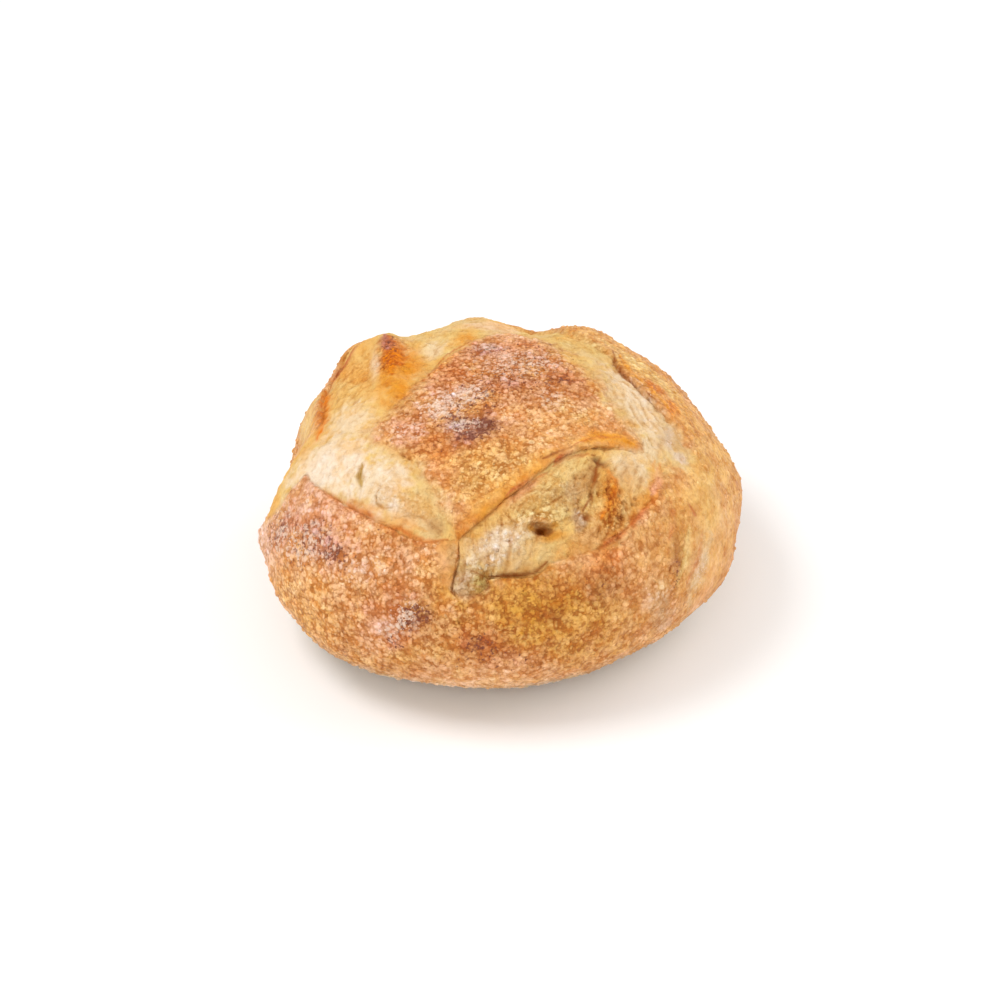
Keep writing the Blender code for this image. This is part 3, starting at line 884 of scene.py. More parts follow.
# how coarse the torn crumb is, in the same way
TORN = (
    (22, -88, 38, 12, 38, 0.75),
    (-14, -121, 13, 7, 0, 0.9),
    (-12, -108, 12, 10, 0, 0.45),
    (54, -88, 20, 12, 45, 0.65),
    (-48, -80, 20, 6, -35, 0.6),
    (-62, 42, 8, 28, 0, 0.9),
    (62, -74, 5, 17, 0, 0.8),
    (78, -72, 7, 26, -32, 0.6),
    (22, -91, 14, 4, 10, 0.3),
    (-84, 40, 16, 26, 20, 0.5),
    (50, 62, 20, 14, 40, 0.5),
)

# spots where the crust is bumpiest and smoothest, and where the crumb has its finest mesh
BUMPIEST = (0, 8, 56, 48, 0)
SMOOTHEST = (112, -50, 28, 60, 10)
BUSIEST_CRUMB = (35, -88, 46, 26, 25)

# painted lines over crust and crumb: colour, half width, strength, then the run
STROKES = (
    ("orange", 4.0, 1.0, ((-102, 46), (-101.5, 14), (-100, -14))),  # left streak
    ("orange", 6.0, 1.0, ((-62, 66), (-62.5, 48), (-63, 34), (-62, 18))),  # the fold
    ("amber", 6.0, 0.9, ((-54, 34), (-57, 16), (-57, -6))),
    ("mauve", 3.4, 1.0, ((-64, 68), (-64, 50))),
    ("honey", 3.4, 0.7, ((-14, -92), (7, -75), (25, -60), (42, -47), (58, -39.5),
                          (77, -36.5))),  # the ear
    ("brown", 1.5, 0.6, ((-101.6, 30), (-101, 12), (-100.4, 0))),
    ("amber", 3.4, 1.0, ((46, -45), (56, -39), (66, -36), (76, -36))),
    ("copper", 1.8, 0.9, ((-94, -55), (-79, -71), (-61, -86), (-40, -100), (-27, -101))),
    ("amber", 2.2, 0.5, ((-80, -67), (-66, -77.5), (-51, -88), (-38, -96))),
    ("copper", 2.0, 0.75, ((90, -40), (89.5, -51), (86, -62), (79, -74), (68, -88),
                           (56, -99))),  # ridge
    ("amber", 2.8, 0.5, ((87, -40), (84, -60), (76, -74), (62, -92))),
    ("rose", 2.2, 0.8, ((88.5, -44), (87, -54), (84, -62))),
    ("russet", 1.9, 0.6, ((82, -70), (76, -79), (66, -91), (58, -98))),
    ("russet", 1.2, 0.7, ((106, -55), (111, -57.5))),
    ("brown", 1.4, 0.6, ((118, 10), (121, 2))),
    ("brown", 2.6, 0.55, ((101, -73), (102.5, -84), (100, -95))),  # right side
    ("copper", 1.8, 0.75, ((94, -58), (97, -70), (95, -82))),
    ("straw", 2.6, 0.8, ((107, -66), (110, -82), (108, -97))),
    ("copper", 1.6, 0.55, ((117, -60), (119, -76), (116, -92))),
    ("ivory", 2.2, 0.6, ((125, -56), (126, -74), (121, -92))),
    ("russet", 1.0, 0.65, ((-44, 16), (-38, 30), (-28, 46), (-16, 57))),  # panel's side
    ("orange", 3.2, 0.8, ((59, -56), (63.5, -64), (64, -72), (60, -80), (56, -86))),
    # Painted shade: the brown and tan lines on the pocket's right wall and in the pits at its
    # head.
    ("brown", 1.1, 0.7, ((59.5, -60), (61, -68), (60, -76))),
    ("tan", 3.0, 0.8, ((54, -52), (53, -62), (50, -72), (44, -80))),  # pocket's wall, in painted shade
    ("brown", 0.5, 1.0, ((53, -49.6), (56, -49.4))),
    ("brown", 0.6, 1.0, ((58.5, -53), (61, -55.5))),
    ("brown", 0.4, 0.9, ((50, -53), (51.6, -56))),
    ("brown", 0.4, 0.9, ((63, -50), (64, -53))),
    ("brown", 1.7, 1.0, ((58, -50), (55.5, -58), (54, -66), (51.5, -76), (47, -84))),
    # Painted shadow: the brown lines along the right tear's front lip and round the crossing's
    # grooves.
    ("brown", 0.9, 1.0, ((-5, -118.6), (4, -118.4), (12, -118), (20, -116.6), (28, -110.6))),
    ("brown", 0.7, 0.75, ((-21, -104), (-21.4, -110), (-24, -117), (-25.5, -123),
                          (-23, -125.6))),
    ("brown", 0.6, 0.7, ((-17, -126.6), (-10, -126), (-5, -123), (-6.5, -120.5))),
    ("brown", 0.5, 0.8, ((-22.5, -115.5), (-16, -115), (-11, -116.8), (-7, -119))),
    ("brown", 0.5, 0.6, ((-22, -121), (-18, -118.5), (-13, -119))),
    ("tan", 0.7, 0.9, ((-21, -124), (-15, -121.5), (-9, -122.5))),
    ("ivory", 0.9, 0.6, ((-23, -119), (-18, -121), (-12, -124))),
    # Painted shadow: the toast, olive gold, russet and brown lines from here to the ear's end
    # darken the crumb under the ear's lifted edge.
    ("toast", 1.6, 0.9, ((-8, -94.5), (9, -81), (17, -76), (28, -66.5))),  # under the ear, in painted shadow
    ("olive gold", 1.8, 0.65, ((-12, -96), (2, -85), (14, -76))),
    ("russet", 0.8, 0.9, ((4, -83.5), (9, -79.4), (17, -74))),
    ("toast", 1.8, 0.9, ((31, -63), (37, -58), (43, -54), (52, -49.6))),
    ("russet", 0.9, 0.9, ((32, -60.6), (37, -56.4), (42, -52.4))),
    ("brown", 1.3, 0.9, ((25, -61.4), (30, -58), (36, -54.4), (42, -50.4))),
    ("russet", 1.1, 0.6, ((42, -50), (50, -43), (58, -38.4), (70, -33.8))),
    ("brown", 0.7, 0.7, ((54, -46.5), (62, -44), (70, -42))),
    ("brown", 0.8, 0.9, ((66, 56), (68, 41), (72.5, 27), (79, 17))),  # painted shadow under the flap's edge
    ("brown", 0.7, 0.7, ((83, 14), (89, 6))),
    ("amber", 2.4, 0.8, ((70, 52), (72, 38), (78, 26), (88, 14), (95, 4))),
    # painted shade along the grooves of the left tear
    ("tan", 0.8, 0.8, ((-33, -95), (-40, -89), (-48, -86), (-56, -85))),
    ("olive", 1.5, 0.9, ((-74, -50), (-74.6, -58), (-73, -65))),
    ("tan", 0.7, 0.9, ((-63, -67), (-65.5, -71), (-65, -75), (-61, -79), (-57, -80))),
)


def broken(places, points, rows):
    """The share of each painted patch at each place, with uneven, broken borders."""
    drift = np.stack([layered(points, (3.0, 0.011, shift), (1.0, 0.004, shift + 1))
                      for shift in (11, 13)], axis=1) * MM
    uneven = layered(points, (0.55, 0.0045, 15), (0.35, 0.0018, 16))
    for row in rows:
        *where, strength = row
        loose = min(1.0, min(where[2:4]) / 10)
        spot = np.maximum(patch(places + drift * loose, *where), 1e-9)
        spot = np.exp(-((-np.log(spot)) ** 1.6))
        edge = 4 * spot * (1 - spot)
        yield np.clip(spot + uneven * loose * edge, 0, 1) * strength


def stroked(colour, places, points):
    """Paint the lines over a colour, with uneven, broken sides."""
    uneven = layered(points, (0.6, 0.003, 29), (0.3, 0.0012, 30))
    weave = 1.2 * MM * grain(points, 0.006, shift=31)
    fade = np.clip(0.95 + 0.8 * grain(points, 0.008, shift=32), 0.4, 1)
    for name, half_width, strength, run in STROKES:
        gap, share = beside_run(places, run)
        taper = np.sin(math.pi * (0.04 + 0.92 * share)) ** 0.7
        width = half_width * MM * taper * np.clip(1 + uneven, 0.4, 1.7)
        line = np.exp(-(((gap + weave * min(1, half_width / 3)) / width) ** 2))
        colour += (PALETTE[name] - colour) * (strength * fade * line)[:, None]
    return colour


def baked_colour(places, points, first, rows, drift):
    """The colours of painted patches over a first colour that drifts between two more."""
    colour = np.tile(PALETTE[first], (len(places), 1))
    warmer = grain(points, 0.016, shift=19)
    for name, share in zip(drift, (warmer, -warmer)):
        colour += (PALETTE[name] - colour) * np.clip(share * 1.2, 0, 0.6)[:, None]
    shares = broken(places, points, [row[1:] for row in rows])
    for row, share in zip(rows, shares):
        colour += (PALETTE[row[0]] - colour) * share[:, None]
    return colour


def underside(points):
    """1 on the floury underside, 0 on the loaf's walls."""
    return 1 - soft_step(points[:, 2] - FOOT, 7 * MM)


SHADED = np.array([0.66, 0.46, 0.26, 1])  # painted shade of the crumb between its raised fibres
FIBRE_HIGHLIGHT = np.array([1.12, 1.24, 1.5, 1])  # painted highlight on the raised fibres


def bake(places, edges, points, rough):
    """The loaf's colours and masks, by name."""
    crust = baked_colour(places, rough, "gold", CRUST_BAKE, ("toast", "peach"))
    crumb = baked_colour(places, rough, "straw", CRUMB_BAKE, ("honey", "ivory"))
    zone = grain(rough, 0.010, shift=20)
    for name, share in (("toast", zone), ("honey", -zone)):
        crust += (PALETTE[name] - crust) * np.clip(share * 0.75, 0, 0.45)[:, None]
    thread, shown = fibres(places)
    # Painted shade and highlight: the crumb is darkened between its raised fibres and paled on
    # them.
    for tint, share in ((SHADED, -thread), (FIBRE_HIGHLIGHT, thread)):
        share = soft_step(share - 0.28, 0.5) * shown
        crumb += (crumb * tint - crumb) * (0.95 * share)[:, None]
    frayed = layered(rough, (0.5, 0.006, 17), (0.3, 0.002, 18)) * edges.fade * 0.6
    browned = soft_step(edges.gap + frayed, np.maximum(edges.fade, 1e-4))
    below = underside(points)
    colour = stroked(crumb + (crust - crumb) * browned[:, None], places, rough)
    # painted light: the band just above the base is paled towards the rim colour, as bounce
    # light from the floor would light it
    floor_bounce_light = 0.95 * np.exp(-(((points[:, 2] - 8 * MM) / (10 * MM)) ** 2))
    colour += (PALETTE["rim"] - colour) * floor_bounce_light[:, None]
    colour += (PALETTE["base"] - colour) * below[:, None]
    burnt, flour, coarse, torn = (
        sum(broken(places, rough, rows)) for rows in (BURNT, FLOURED, COARSE, TORN))
    coarse = np.clip(0.5 + coarse, 0, 1.4) * browned + np.clip(torn, 0, 1.2) * (1 - browned)
    return {
        "bake": colour,
        "burnt": np.clip(burnt, 0, 1.2),
        "flour": np.clip(flour + 0.5 * below, 0, 1),
        "coarse": coarse * (1 - below),
        "crust": browned,
    }


# ---- Nodes -----------------------------------------------------------------------------
COLOUR, NUMBER, VECTOR = "NodeSocketColor", "NodeSocketFloat", "NodeSocketVector"


def feed(tree, socket, value):
    """Set a socket, or link another one to it."""
    if isinstance(value, bpy.types.NodeSocket):
        tree.links.new(value, socket)
    else:
        socket.default_value = value


def node(tree, kind, inputs=None, **settings):
    """A new node with the given settings, and its inputs, by name or number, set or linked."""
    made = tree.nodes.new(kind)
    for name, value in settings.items():
        setattr(made, name, value)
    for key, value in (inputs or {}).items():
        feed(tree, made.inputs[key], value)
    return made


def group(name, inputs, outputs, kind="ShaderNodeTree"):
    """An empty node group with the named sockets; gives the tree, what its input node gives
    out and what its output node takes in."""
    tree = bpy.data.node_groups.new(name, kind)
    for way, sockets in (("INPUT", inputs), ("OUTPUT", outputs)):
        for socket, socket_kind in sockets:
            tree.interface.new_socket(socket, in_out=way, socket_type=socket_kind)
    return tree, node(tree, "NodeGroupInput").outputs, node(tree, "NodeGroupOutput").inputs


def use_group(tree, name, build, **inputs):
    """Place a shared node group in a tree, building it the first time."""
    made = node(tree, "ShaderNodeGroup")
    made.node_tree = bpy.data.node_groups.get(name) or build(name)
    for socket, value in inputs.items():
        feed(tree, made.inputs[socket], value)
    return made.outputs


def maths(tree, operation, *values):
    """The operation carried through the values, from the first to the last."""
    result = values[0]
    for value in values[1:]:
        result = node(tree, "ShaderNodeMath", {0: result, 1: value},
                      operation=operation).outputs[0]
    return result


def times(tree, *values):
    return maths(tree, "MULTIPLY", *values)


def plus(tree, *values):
    return maths(tree, "ADD", *values)


def mix(tree, share, first, second, blend="MIX"):
    made = node(tree, "ShaderNodeMix", {"Factor": share, "A": first, "B": second},
                data_type="RGBA", blend_type=blend, clamp_factor=True)
    return made.outputs["Result"]


def tints(tree, colour, *factors):
    """The colour multiplied by each set of red, green and blue factors."""
    return [mix(tree, 1.0, colour, (*factor, 1.0), "MULTIPLY") for factor in factors]


def ramp(tree, value, low, high, start=0.0, end=1.0):
    """The value's span from low to high, eased to span start to end."""
    made = node(tree, "ShaderNodeMapRange",
                dict(enumerate((value, low, high, start, end))),
                interpolation_type="SMOOTHSTEP")
    return made.outputs["Result"]


def speckle(tree, place, size, detail=2.0, roughness=0.5):
    """Smooth noise in lumps of the given size, in metres."""
    made = node(tree, "ShaderNodeTexNoise", {
        "Vector": place, "Scale": 1 / size, "Detail": detail, "Roughness": roughness})
    return made.outputs["Fac"]


def scatter(tree, place, size):
    """Distance to the nearest of a scatter of spots, in spot spacings, and a tone of that
    spot's own between 0 and 1."""
    spots = node(tree, "ShaderNodeTexVoronoi", {"Vector": place, "Scale": 1 / size})
    apart = node(tree, "ShaderNodeSeparateColor", {0: spots.outputs["Color"]})
    return spots.outputs["Distance"], apart.outputs[0]


def wavy(tree, place, size, reach):
    """A place moved about by smooth noise, so that what is laid on it isn't regular."""
    waves = node(tree, "ShaderNodeTexNoise", {"Vector": place, "Scale": 1 / size})
    moved = node(tree, "ShaderNodeVectorMath",
                 {0: waves.outputs["Color"], 1: (reach, reach, reach), 2: place},
                 operation="MULTIPLY_ADD")
    return moved.outputs[0]


def attribute(tree, name, output="Fac"):
    """A layer that was stored on the mesh."""
    return node(tree, "ShaderNodeAttribute", attribute_name=name).outputs[output]


def object_place(tree):
    """The place on the object itself, in metres."""
    return node(tree, "ShaderNodeTexCoord").outputs["Object"]


# ---- Pieces ----------------------------------------------------------------------------
def on_crust(places, sizes):
    """The crust at places of the map: its points, the smooth loaf's normals, where the
    edges are, and the smooth loaf's own points."""
    smooth, _, radius = smooth_loaf(from_map(places), sizes)
    rough = vectors(smooth)
    edges = ragged(Edges(places, radius / MAP_RADIUS), rough)
    height, draw = crust_form(places, edges)
    drawn = places + edges.inward * draw[:, None]
    point, normal, _ = smooth_loaf(from_map(drawn), sizes)
    bumps = layered(rough, (0.7, 0.024, 0), (0.42, 0.008, 2), (0.32, 0.0036, 3)) * MM
    bumps *= 1 + 0.7 * patch(places, *BUMPIEST) - 0.3 * patch(places, *SMOOTHEST)
    standing = soft_step(point[:, 2] - FOOT, 8 * MM)
    point += normal * (height + bumps * standing)[:, None]
    point[:, 2] = np.maximum(point[:, 2], 0)
    return point + plan_shift(sizes), normal, edges, rough


def make_crust(sizes):
    """The crust, a whole ball that dips under the crumb, with a finer mesh at its edges."""
    body = ball(sizes.crust_cuts)
    _, edges = edges_of(body, sizes)
    above = directions_of(body)[:, 2] > LOWEST_FINE
    split_where(body, (edges.gap > -3.5 * MM) & above)
    _, edges = edges_of(body, sizes)
    split_where(body, np.abs(edges.gap) < 4.5 * MM)
    _, edges = edges_of(body, sizes)
    split_where(body, (np.abs(edges.gap) < 1.9 * MM) & (edges.crisp > 0.2))
    places = to_map(directions_of(body))
    point, _, edges, rough = on_crust(places, sizes)
    piece = finish_piece("loaf_crust", body, crust_material(), point)
    paint(piece.data, bake(places, edges, point, rough))
    return piece


def make_crumb(sizes):
    """The torn crumb, a closed slab under the opened slashes."""
    body = ball(sizes.crust_cuts)
    _, edges = edges_of(body, sizes)
    margin = 7 * MM
    outside = [f for f in body.faces if all(edges.gap[v.index] > margin for v in f.verts)]
    bmesh.ops.delete(body, geom=outside, context="FACES")
    deep = body.verts.layers.float.new("deep")
    made = bmesh.ops.extrude_face_region(body, geom=body.faces[:], use_keep_orig=True)
    for item in made["geom"]:
        if isinstance(item, bmesh.types.BMVert):
            item[deep] = 1.0
    for _ in range(2):
        directions_of(body)
        split_where(body, np.array([v[deep] < 0.01 for v in body.verts]))
    places, edges = edges_of(body, sizes)
    top = np.array([v[deep] < 0.01 for v in body.verts])
    busy = patch(places, *BUSIEST_CRUMB) > 0.5
    split_where(body, top & busy & (edges.gap < 1 * MM))
    places, edges = edges_of(body, sizes)
    depth = np.array([v[deep] for v in body.verts])
    point, normal, _ = smooth_loaf(from_map(places), sizes)
    rough = vectors(point)
    edges = ragged(edges, rough)
    fine = crumb_texture(places, edges, rough)
    height = crumb_form(places, edges) + fine - depth * CRUMB_THICKNESS
    point += normal * height[:, None] + plan_shift(sizes)
    piece = finish_piece("torn_crumb", body, crumb_material(), point)
    paint(piece.data, bake(places, edges, point, rough))
    return piece


RIBS_MEET = np.array([0.0, -0.015])  # place that the crumb's pulled ribs point to


def crumb_texture(places, edges, rough):
    """Fine relief of the torn crumb: pulled ribs, small lumps, pores and grooves."""
    spoke = places - RIBS_MEET
    bearing = np.arctan2(spoke[:, 1], spoke[:, 0])
    reach = np.linalg.norm(spoke, axis=1)
    pulled = [Vector((b * 26, r * 90, 0)) for b, r in zip(bearing, reach)]
    ribs = 1 - 2 * np.abs(grain(pulled, 1.0, shift=21))
    lumpy = layered(rough, (0.66, 0.006, 22), (0.38, 0.0024, 23))
    wrinkles = np.exp(-((grain(rough, 0.0075, 3, shift=27) / 0.07) ** 2))
    wrinkles *= soft_step(grain(rough, 0.010, shift=28) + 0.2, 0.5)
    pore = cells(rough, 0.0042, shift=24)
    chosen = soft_step(grain(rough, 0.012, shift=25) + 0.1, 0.5)
    pores = -0.9 * chosen * np.exp(-((pore / 0.2) ** 2))
    thread, shown = fibres(places)
    texture = (0.22 * ribs + lumpy + pores - 0.45 * wrinkles + 0.9 * thread * shown) * MM
    free = np.clip(-edges.gap / (3 * MM) + 0.4, 0.25, 1)
    return texture * free + grooves(places) * (edges.gap < 1 * MM)


def scattered_places(tries, spacing, seed, lowest):
    """Places spread over the loaf at random, none nearer to another than the spacing, and
    none in a direction that points lower than the lowest."""
    chance = np.random.default_rng(seed)
    level = chance.uniform(lowest, 1, tries)
    bearing = chance.uniform(0, 2 * math.pi, tries)
    flat = np.sqrt(1 - level**2)
    directions = np.stack([flat * np.cos(bearing), flat * np.sin(bearing), level], axis=1)
    tree = KDTree(tries)
    for i, direction in enumerate(directions):
        tree.insert(direction, i)
    tree.balance()
    free = np.ones(tries, bool)
    for i in range(tries):
        if free[i]:
            for _, other, _ in tree.find_range(directions[i], spacing / MAP_RADIUS):
                free[other] = other <= i and free[other]
    return to_map(directions[free]), chance


def lumps_tree():
    """Geometry nodes that set a small rounded lump on every point and join them all."""
    geometry = ("Geometry", "NodeSocketGeometry")
    tree, given, out = group("Lumps On Points", (
        geometry, ("Roundness", "NodeSocketInt"), ("Unevenness", NUMBER),
        ("Material", "NodeSocketMaterial")), (geometry,), "GeometryNodeTree")
    lump = node(tree, "GeometryNodeMeshIcoSphere", {"Subdivisions": given["Roundness"]})
    turn, girth = (node(tree, "GeometryNodeInputNamedAttribute", {"Name": name},
                        data_type="FLOAT_VECTOR").outputs["Attribute"]
                   for name in ("turn", "girth"))
    placed = node(tree, "GeometryNodeInstanceOnPoints", {
        "Points": given["Geometry"], "Instance": lump.outputs["Mesh"], "Rotation": turn,
        "Scale": girth})
    joined = node(tree, "GeometryNodeRealizeInstances", {0: placed.outputs["Instances"]})
    waves = node(tree, "ShaderNodeTexNoise", {"Scale": 900})
    centred = node(tree, "ShaderNodeVectorMath", {0: waves.outputs["Color"], 1: (0.5,) * 3},
                   operation="SUBTRACT")
    scaled = node(tree, "ShaderNodeVectorMath",
                  {0: centred.outputs[0], "Scale": given["Unevenness"]}, operation="SCALE")
    moved = node(tree, "GeometryNodeSetPosition", {
        "Geometry": joined.outputs["Geometry"], "Offset": scaled.outputs[0]})
    clad = node(tree, "GeometryNodeSetMaterial", {
        "Geometry": moved.outputs["Geometry"], "Material": given["Material"]})
    smooth = node(tree, "GeometryNodeSetShadeSmooth", {"Geometry": clad.outputs["Geometry"]})
    feed(tree, out["Geometry"], smooth.outputs["Geometry"])
    return tree


def lumps(name, points, normals, girths, chance, values, roundness, unevenness, material):
    """One joined piece with a lump of the given girths at each point."""
    mesh = bpy.data.meshes.new(name)
    mesh.from_pydata([tuple(point) for point in points], [], [])
    turns = []
    for normal, spin in zip(normals, chance.uniform(0, 2 * math.pi, len(points))):
        upright = Vector(normal).to_track_quat("Z", "Y")
        turns.append((upright @ Quaternion((0, 0, 1), spin)).to_euler())
    for attribute_name, rows in (("turn", turns), ("girth", girths)):
        layer = mesh.attributes.new(attribute_name, "FLOAT_VECTOR", "POINT")
        layer.data.foreach_set("vector", np.array(rows, np.float32).ravel())
    paint(mesh, values)
    piece = add_object(name, mesh)
    modifier = piece.modifiers.new("lumps", "NODES")
    modifier.node_group = bpy.data.node_groups.get("Lumps On Points") or lumps_tree()
    settings = {"Roundness": roundness, "Unevenness": unevenness, "Material": material}
    for item in modifier.node_group.interface.items_tree:
        if item.name in settings:
            modifier[item.identifier] = settings[item.name]
    piece.data = bpy.data.meshes.new_from_object(
        piece.evaluated_get(bpy.context.evaluated_depsgraph_get()))
    piece.data.name = name
    piece.modifiers.clear()
    for spare in {"turn", "girth"} & set(piece.data.attributes.keys()):
        piece.data.attributes.remove(piece.data.attributes[spare])
    return piece


# piece, places tried, least spacing, smallest and largest half width in mm, roundness, most
# of them, and the seed of their scatter
BLISTERS = (
    ("small_blisters", 30000, 0.0022, 0.55, 1.0, 1, 7600, 5),
    ("large_blisters", 9000, 0.0038, 0.9, 1.6, 2, 2300, 6),
)
BLISTER_SUNK = 0.25  # share of a blister's height that lies under the crust
PALER = np.array([0.28, 0.48, 1.0, 0])  # how a blister's colour grows as it pales


def make_blisters(sizes, look):
    """Raised blisters: many small ones and a few large."""
    pieces = []
    for name, tries, spacing, low, high, roundness, most, seed in BLISTERS:
        places, chance = scattered_places(tries, spacing, seed, lowest=-0.55)
        point, normal, edges, rough = on_crust(places, sizes)
        values = bake(places, edges, point, rough)
        clear = edges.gap > (1.2 + 2.0 * edges.crisp) * MM
        clumps = np.clip(0.7 + 0.9 * grain(rough, 0.011, shift=26), 0.1, 1.5)
        luck = 0.35 + chance.random(len(places))
        wanted = values["coarse"] * values["crust"] * clear * clumps * luck
        chosen = np.argsort(-wanted)[:most]
        chosen = chosen[wanted[chosen] > 0.12]
        point, normal = point[chosen], normal[chosen]
        values = {key: rows[chosen] for key, rows in values.items()}
        count = len(chosen)
        width = (low + (high - low) * chance.random(count) ** 1.8) * MM
        stretch = chance.uniform(0.75, 1.25, count)
        tall = width * chance.uniform(0.50, 0.80, count)
        girths = np.stack([width * stretch, width / stretch, tall], axis=1)
        paler = (chance.uniform(0.1, 1.0, count) ** 1.5 * look.blister_paleness)[:, None]
        dusted = (0.7 * values["flour"] * chance.random(count))[:, None]
        pink = values["bake"] + (PALETTE["blush"] - values["bake"]) * dusted
        values["bake"] = np.minimum(pink * (1 + paler * PALER), 0.95)
        values["coarse"] *= 0.25
        point = point - normal * (BLISTER_SUNK * tall)[:, None]
        pieces.append(lumps(name, point, normal, girths, chance, values, roundness,
                            0.35 * MM, bpy.data.materials["baked_crust"]))
    return pieces


def make_flour(sizes, look):
    """Loose flour, lying thickest where the loaf was dusted."""
    places, chance = scattered_places(tries=60000, spacing=0.0007, seed=9, lowest=-0.5)
    point, normal, edges, rough = on_crust(places, sizes)
    values = bake(places, edges, point, rough)
    wanted = values["flour"] * (edges.gap > 1.0 * MM) * (0.2 + chance.random(len(places)))
    chosen = np.argsort(-wanted)[:look.flour_grains]
    point, normal = point[chosen], normal[chosen]
    count = len(chosen)
    width = (0.09 + 0.20 * chance.random(count) ** 2.5) * MM
    girths = np.stack([width * chance.uniform(0.8, 1.4, count), width,
                       width * chance.uniform(0.5, 0.9, count)], axis=1)
    point = point + normal * (0.1 * MM)
    return lumps("flour_grains", point, normal, girths, chance, {}, 1, 0.15 * MM,
                 flour_material())


# ---- Materials -------------------------------------------------------------------------
def build_skin(name):
    """Fine baked skin: small pale blisters and patches of deeper bake, with painted highlights
    on the blister tops and small dots, and painted shade in the hollows and creases.
    """
    tree, given, out = group(name, (("Place", VECTOR), ("Bake", COLOUR), ("Coarse", NUMBER)),
                             (("Colour", COLOUR), ("Height", NUMBER), ("Tops", NUMBER)))
    place, colour, coarse = given["Place"], given["Bake"], given["Coarse"]
    deep, warm, pale = tints(tree, colour, (0.54, 0.33, 0.15), (0.88, 0.66, 0.44),
                             (1.18, 1.36, 1.85))
    broad = speckle(tree, place, 0.0068)
    middling = speckle(tree, place, 0.0029)
    fine = speckle(tree, place, 0.0014, roughness=0.6)
    spot, tone = scatter(tree, wavy(tree, place, 0.004, 0.0022), 0.0026)
    dot, dot_tone = scatter(tree, wavy(tree, place, 0.003, 0.0012), 0.0016)
    strength = plus(tree, times(tree, coarse, 0.75), 0.2)
    uneven = plus(tree, times(tree, coarse, 0.60), 0.40)

    def where(first, second):
        """Where both patterns, each with its own span, are strong."""
        return times(tree, ramp(tree, *first), ramp(tree, *second), strength)

    # Painted highlights: the tops of the blisters and of the small dots are paled.
    top = where((spot, 0.60, 0.28), (tone, 0.38, 0.68))
    glint = where((dot, 0.58, 0.25), (dot_tone, 0.5, 0.8))
    for mask, share, tint in (
        (times(tree, ramp(tree, broad, 0.50, 0.60), uneven), 0.95, warm),
        (times(tree, ramp(tree, broad, 0.49, 0.40), uneven), 0.80, pale),
        # Painted shade: the hollows of the middling relief are darkened.
        (times(tree, ramp(tree, middling, 0.50, 0.38), strength), 0.75, deep),
        (where((spot, 0.70, 0.30), (tone, 0.32, 0.12)), 0.80, deep),
        (top, 1.0, pale),
        # Painted shade: the creases between the blisters are darkened.
        (where((spot, 0.34, 0.70), (fine, 0.62, 0.40)), 0.6, deep),
        (glint, 0.75, pale),
        # Painted shade: the rims between the small dots are darkened.
        (where((dot, 0.30, 0.65), (dot_tone, 0.5, 0.2)), 0.7, deep),
    ):
        colour = mix(tree, times(tree, mask, share), colour, tint)
    dome = plus(tree, times(tree, ramp(tree, spot, 0.70, 0.10), strength),
                times(tree, glint, 0.4))
    feed(tree, out["Colour"], colour)
    # Tops is the painted highlight mask; the dusting also lays flour on it.
    feed(tree, out["Tops"], maths(tree, "MAXIMUM", top, glint))
    feed(tree, out["Height"], plus(tree, times(tree, dome, 0.50), times(tree, middling, 2.4),
                                   times(tree, fine, 0.6)))
    return tree


def specks(tree, place, amount, size, reach, softness, gain, most):
    """Specks that grow in number and strength with the amount."""
    edge = maths(tree, "SUBTRACT", 0.70, times(tree, amount, reach))
    shown = ramp(tree, speckle(tree, place, size, 3.0, 0.65), edge,
                 plus(tree, edge, softness))
    return times(tree, shown, maths(tree, "MINIMUM", times(tree, amount, gain), most))


def build_dusting(name):
    """Burnt specks and loose flour over a baked colour."""
    tree, given, out = group(
        name, (("Place", VECTOR), ("Colour", COLOUR), ("Burnt", NUMBER), ("Flour", NUMBER),
               ("Tops", NUMBER)), (("Colour", COLOUR), ("Flour", NUMBER)))
    place, flour = given["Place"], given["Flour"]
    dark = specks(tree, place, given["Burnt"], 0.0019, 0.21, 0.09, 2.0, 0.9)
    white = specks(tree, place, flour, 0.0018, 0.24, 0.10, 1.6, 0.75)
    white = maths(tree, "MAXIMUM", white, times(tree, given["Tops"], flour, 0.95))
    colour = mix(tree, dark, given["Colour"], (0.20, 0.055, 0.030, 1.0))
    feed(tree, out["Colour"], mix(tree, white, colour, (0.86, 0.64, 0.50, 1.0)))
    feed(tree, out["Flour"], white)
    return tree


def surface(name, roughness):
    material = bpy.data.materials.new(name)
    material.use_nodes = True
    tree = material.node_tree
    shader = tree.nodes["Principled BSDF"]
    shader.inputs["Roughness"].default_value = roughness
    shader.inputs["Specular IOR Level"].default_value = 0.18
    return material, tree, shader


def relief(tree, shader, height):
    """Raise the surface by a height in millimetres."""
    bump = node(tree, "ShaderNodeBump", {"Strength": 1.0, "Distance": MM, "Height": height})
    feed(tree, shader.inputs["Normal"], bump.outputs["Normal"])


def baked_skin(tree, place):
    return use_group(tree, "Baked Skin", build_skin, Place=place,
                     Bake=attribute(tree, "bake", "Color"), Coarse=attribute(tree, "coarse"))


def burnt_and_floured(tree, place, colour, tops):
    return use_group(tree, "Burnt And Floured", build_dusting, Place=place, Colour=colour,
                     Burnt=attribute(tree, "burnt"), Flour=attribute(tree, "flour"), Tops=tops)


def crust_material():
    material, tree, shader = surface("baked_crust", 0.55)
    place = object_place(tree)
    skin = baked_skin(tree, place)
    dusted = burnt_and_floured(tree, place, skin["Colour"], skin["Tops"])
    feed(tree, shader.inputs["Base Color"], dusted["Colour"])
    feed(tree, shader.inputs["Roughness"], ramp(tree, dusted["Flour"], 0, 1, 0.5, 0.9))
    relief(tree, shader, plus(tree, skin["Height"], times(tree, dusted["Flour"], 0.1)))
    return material


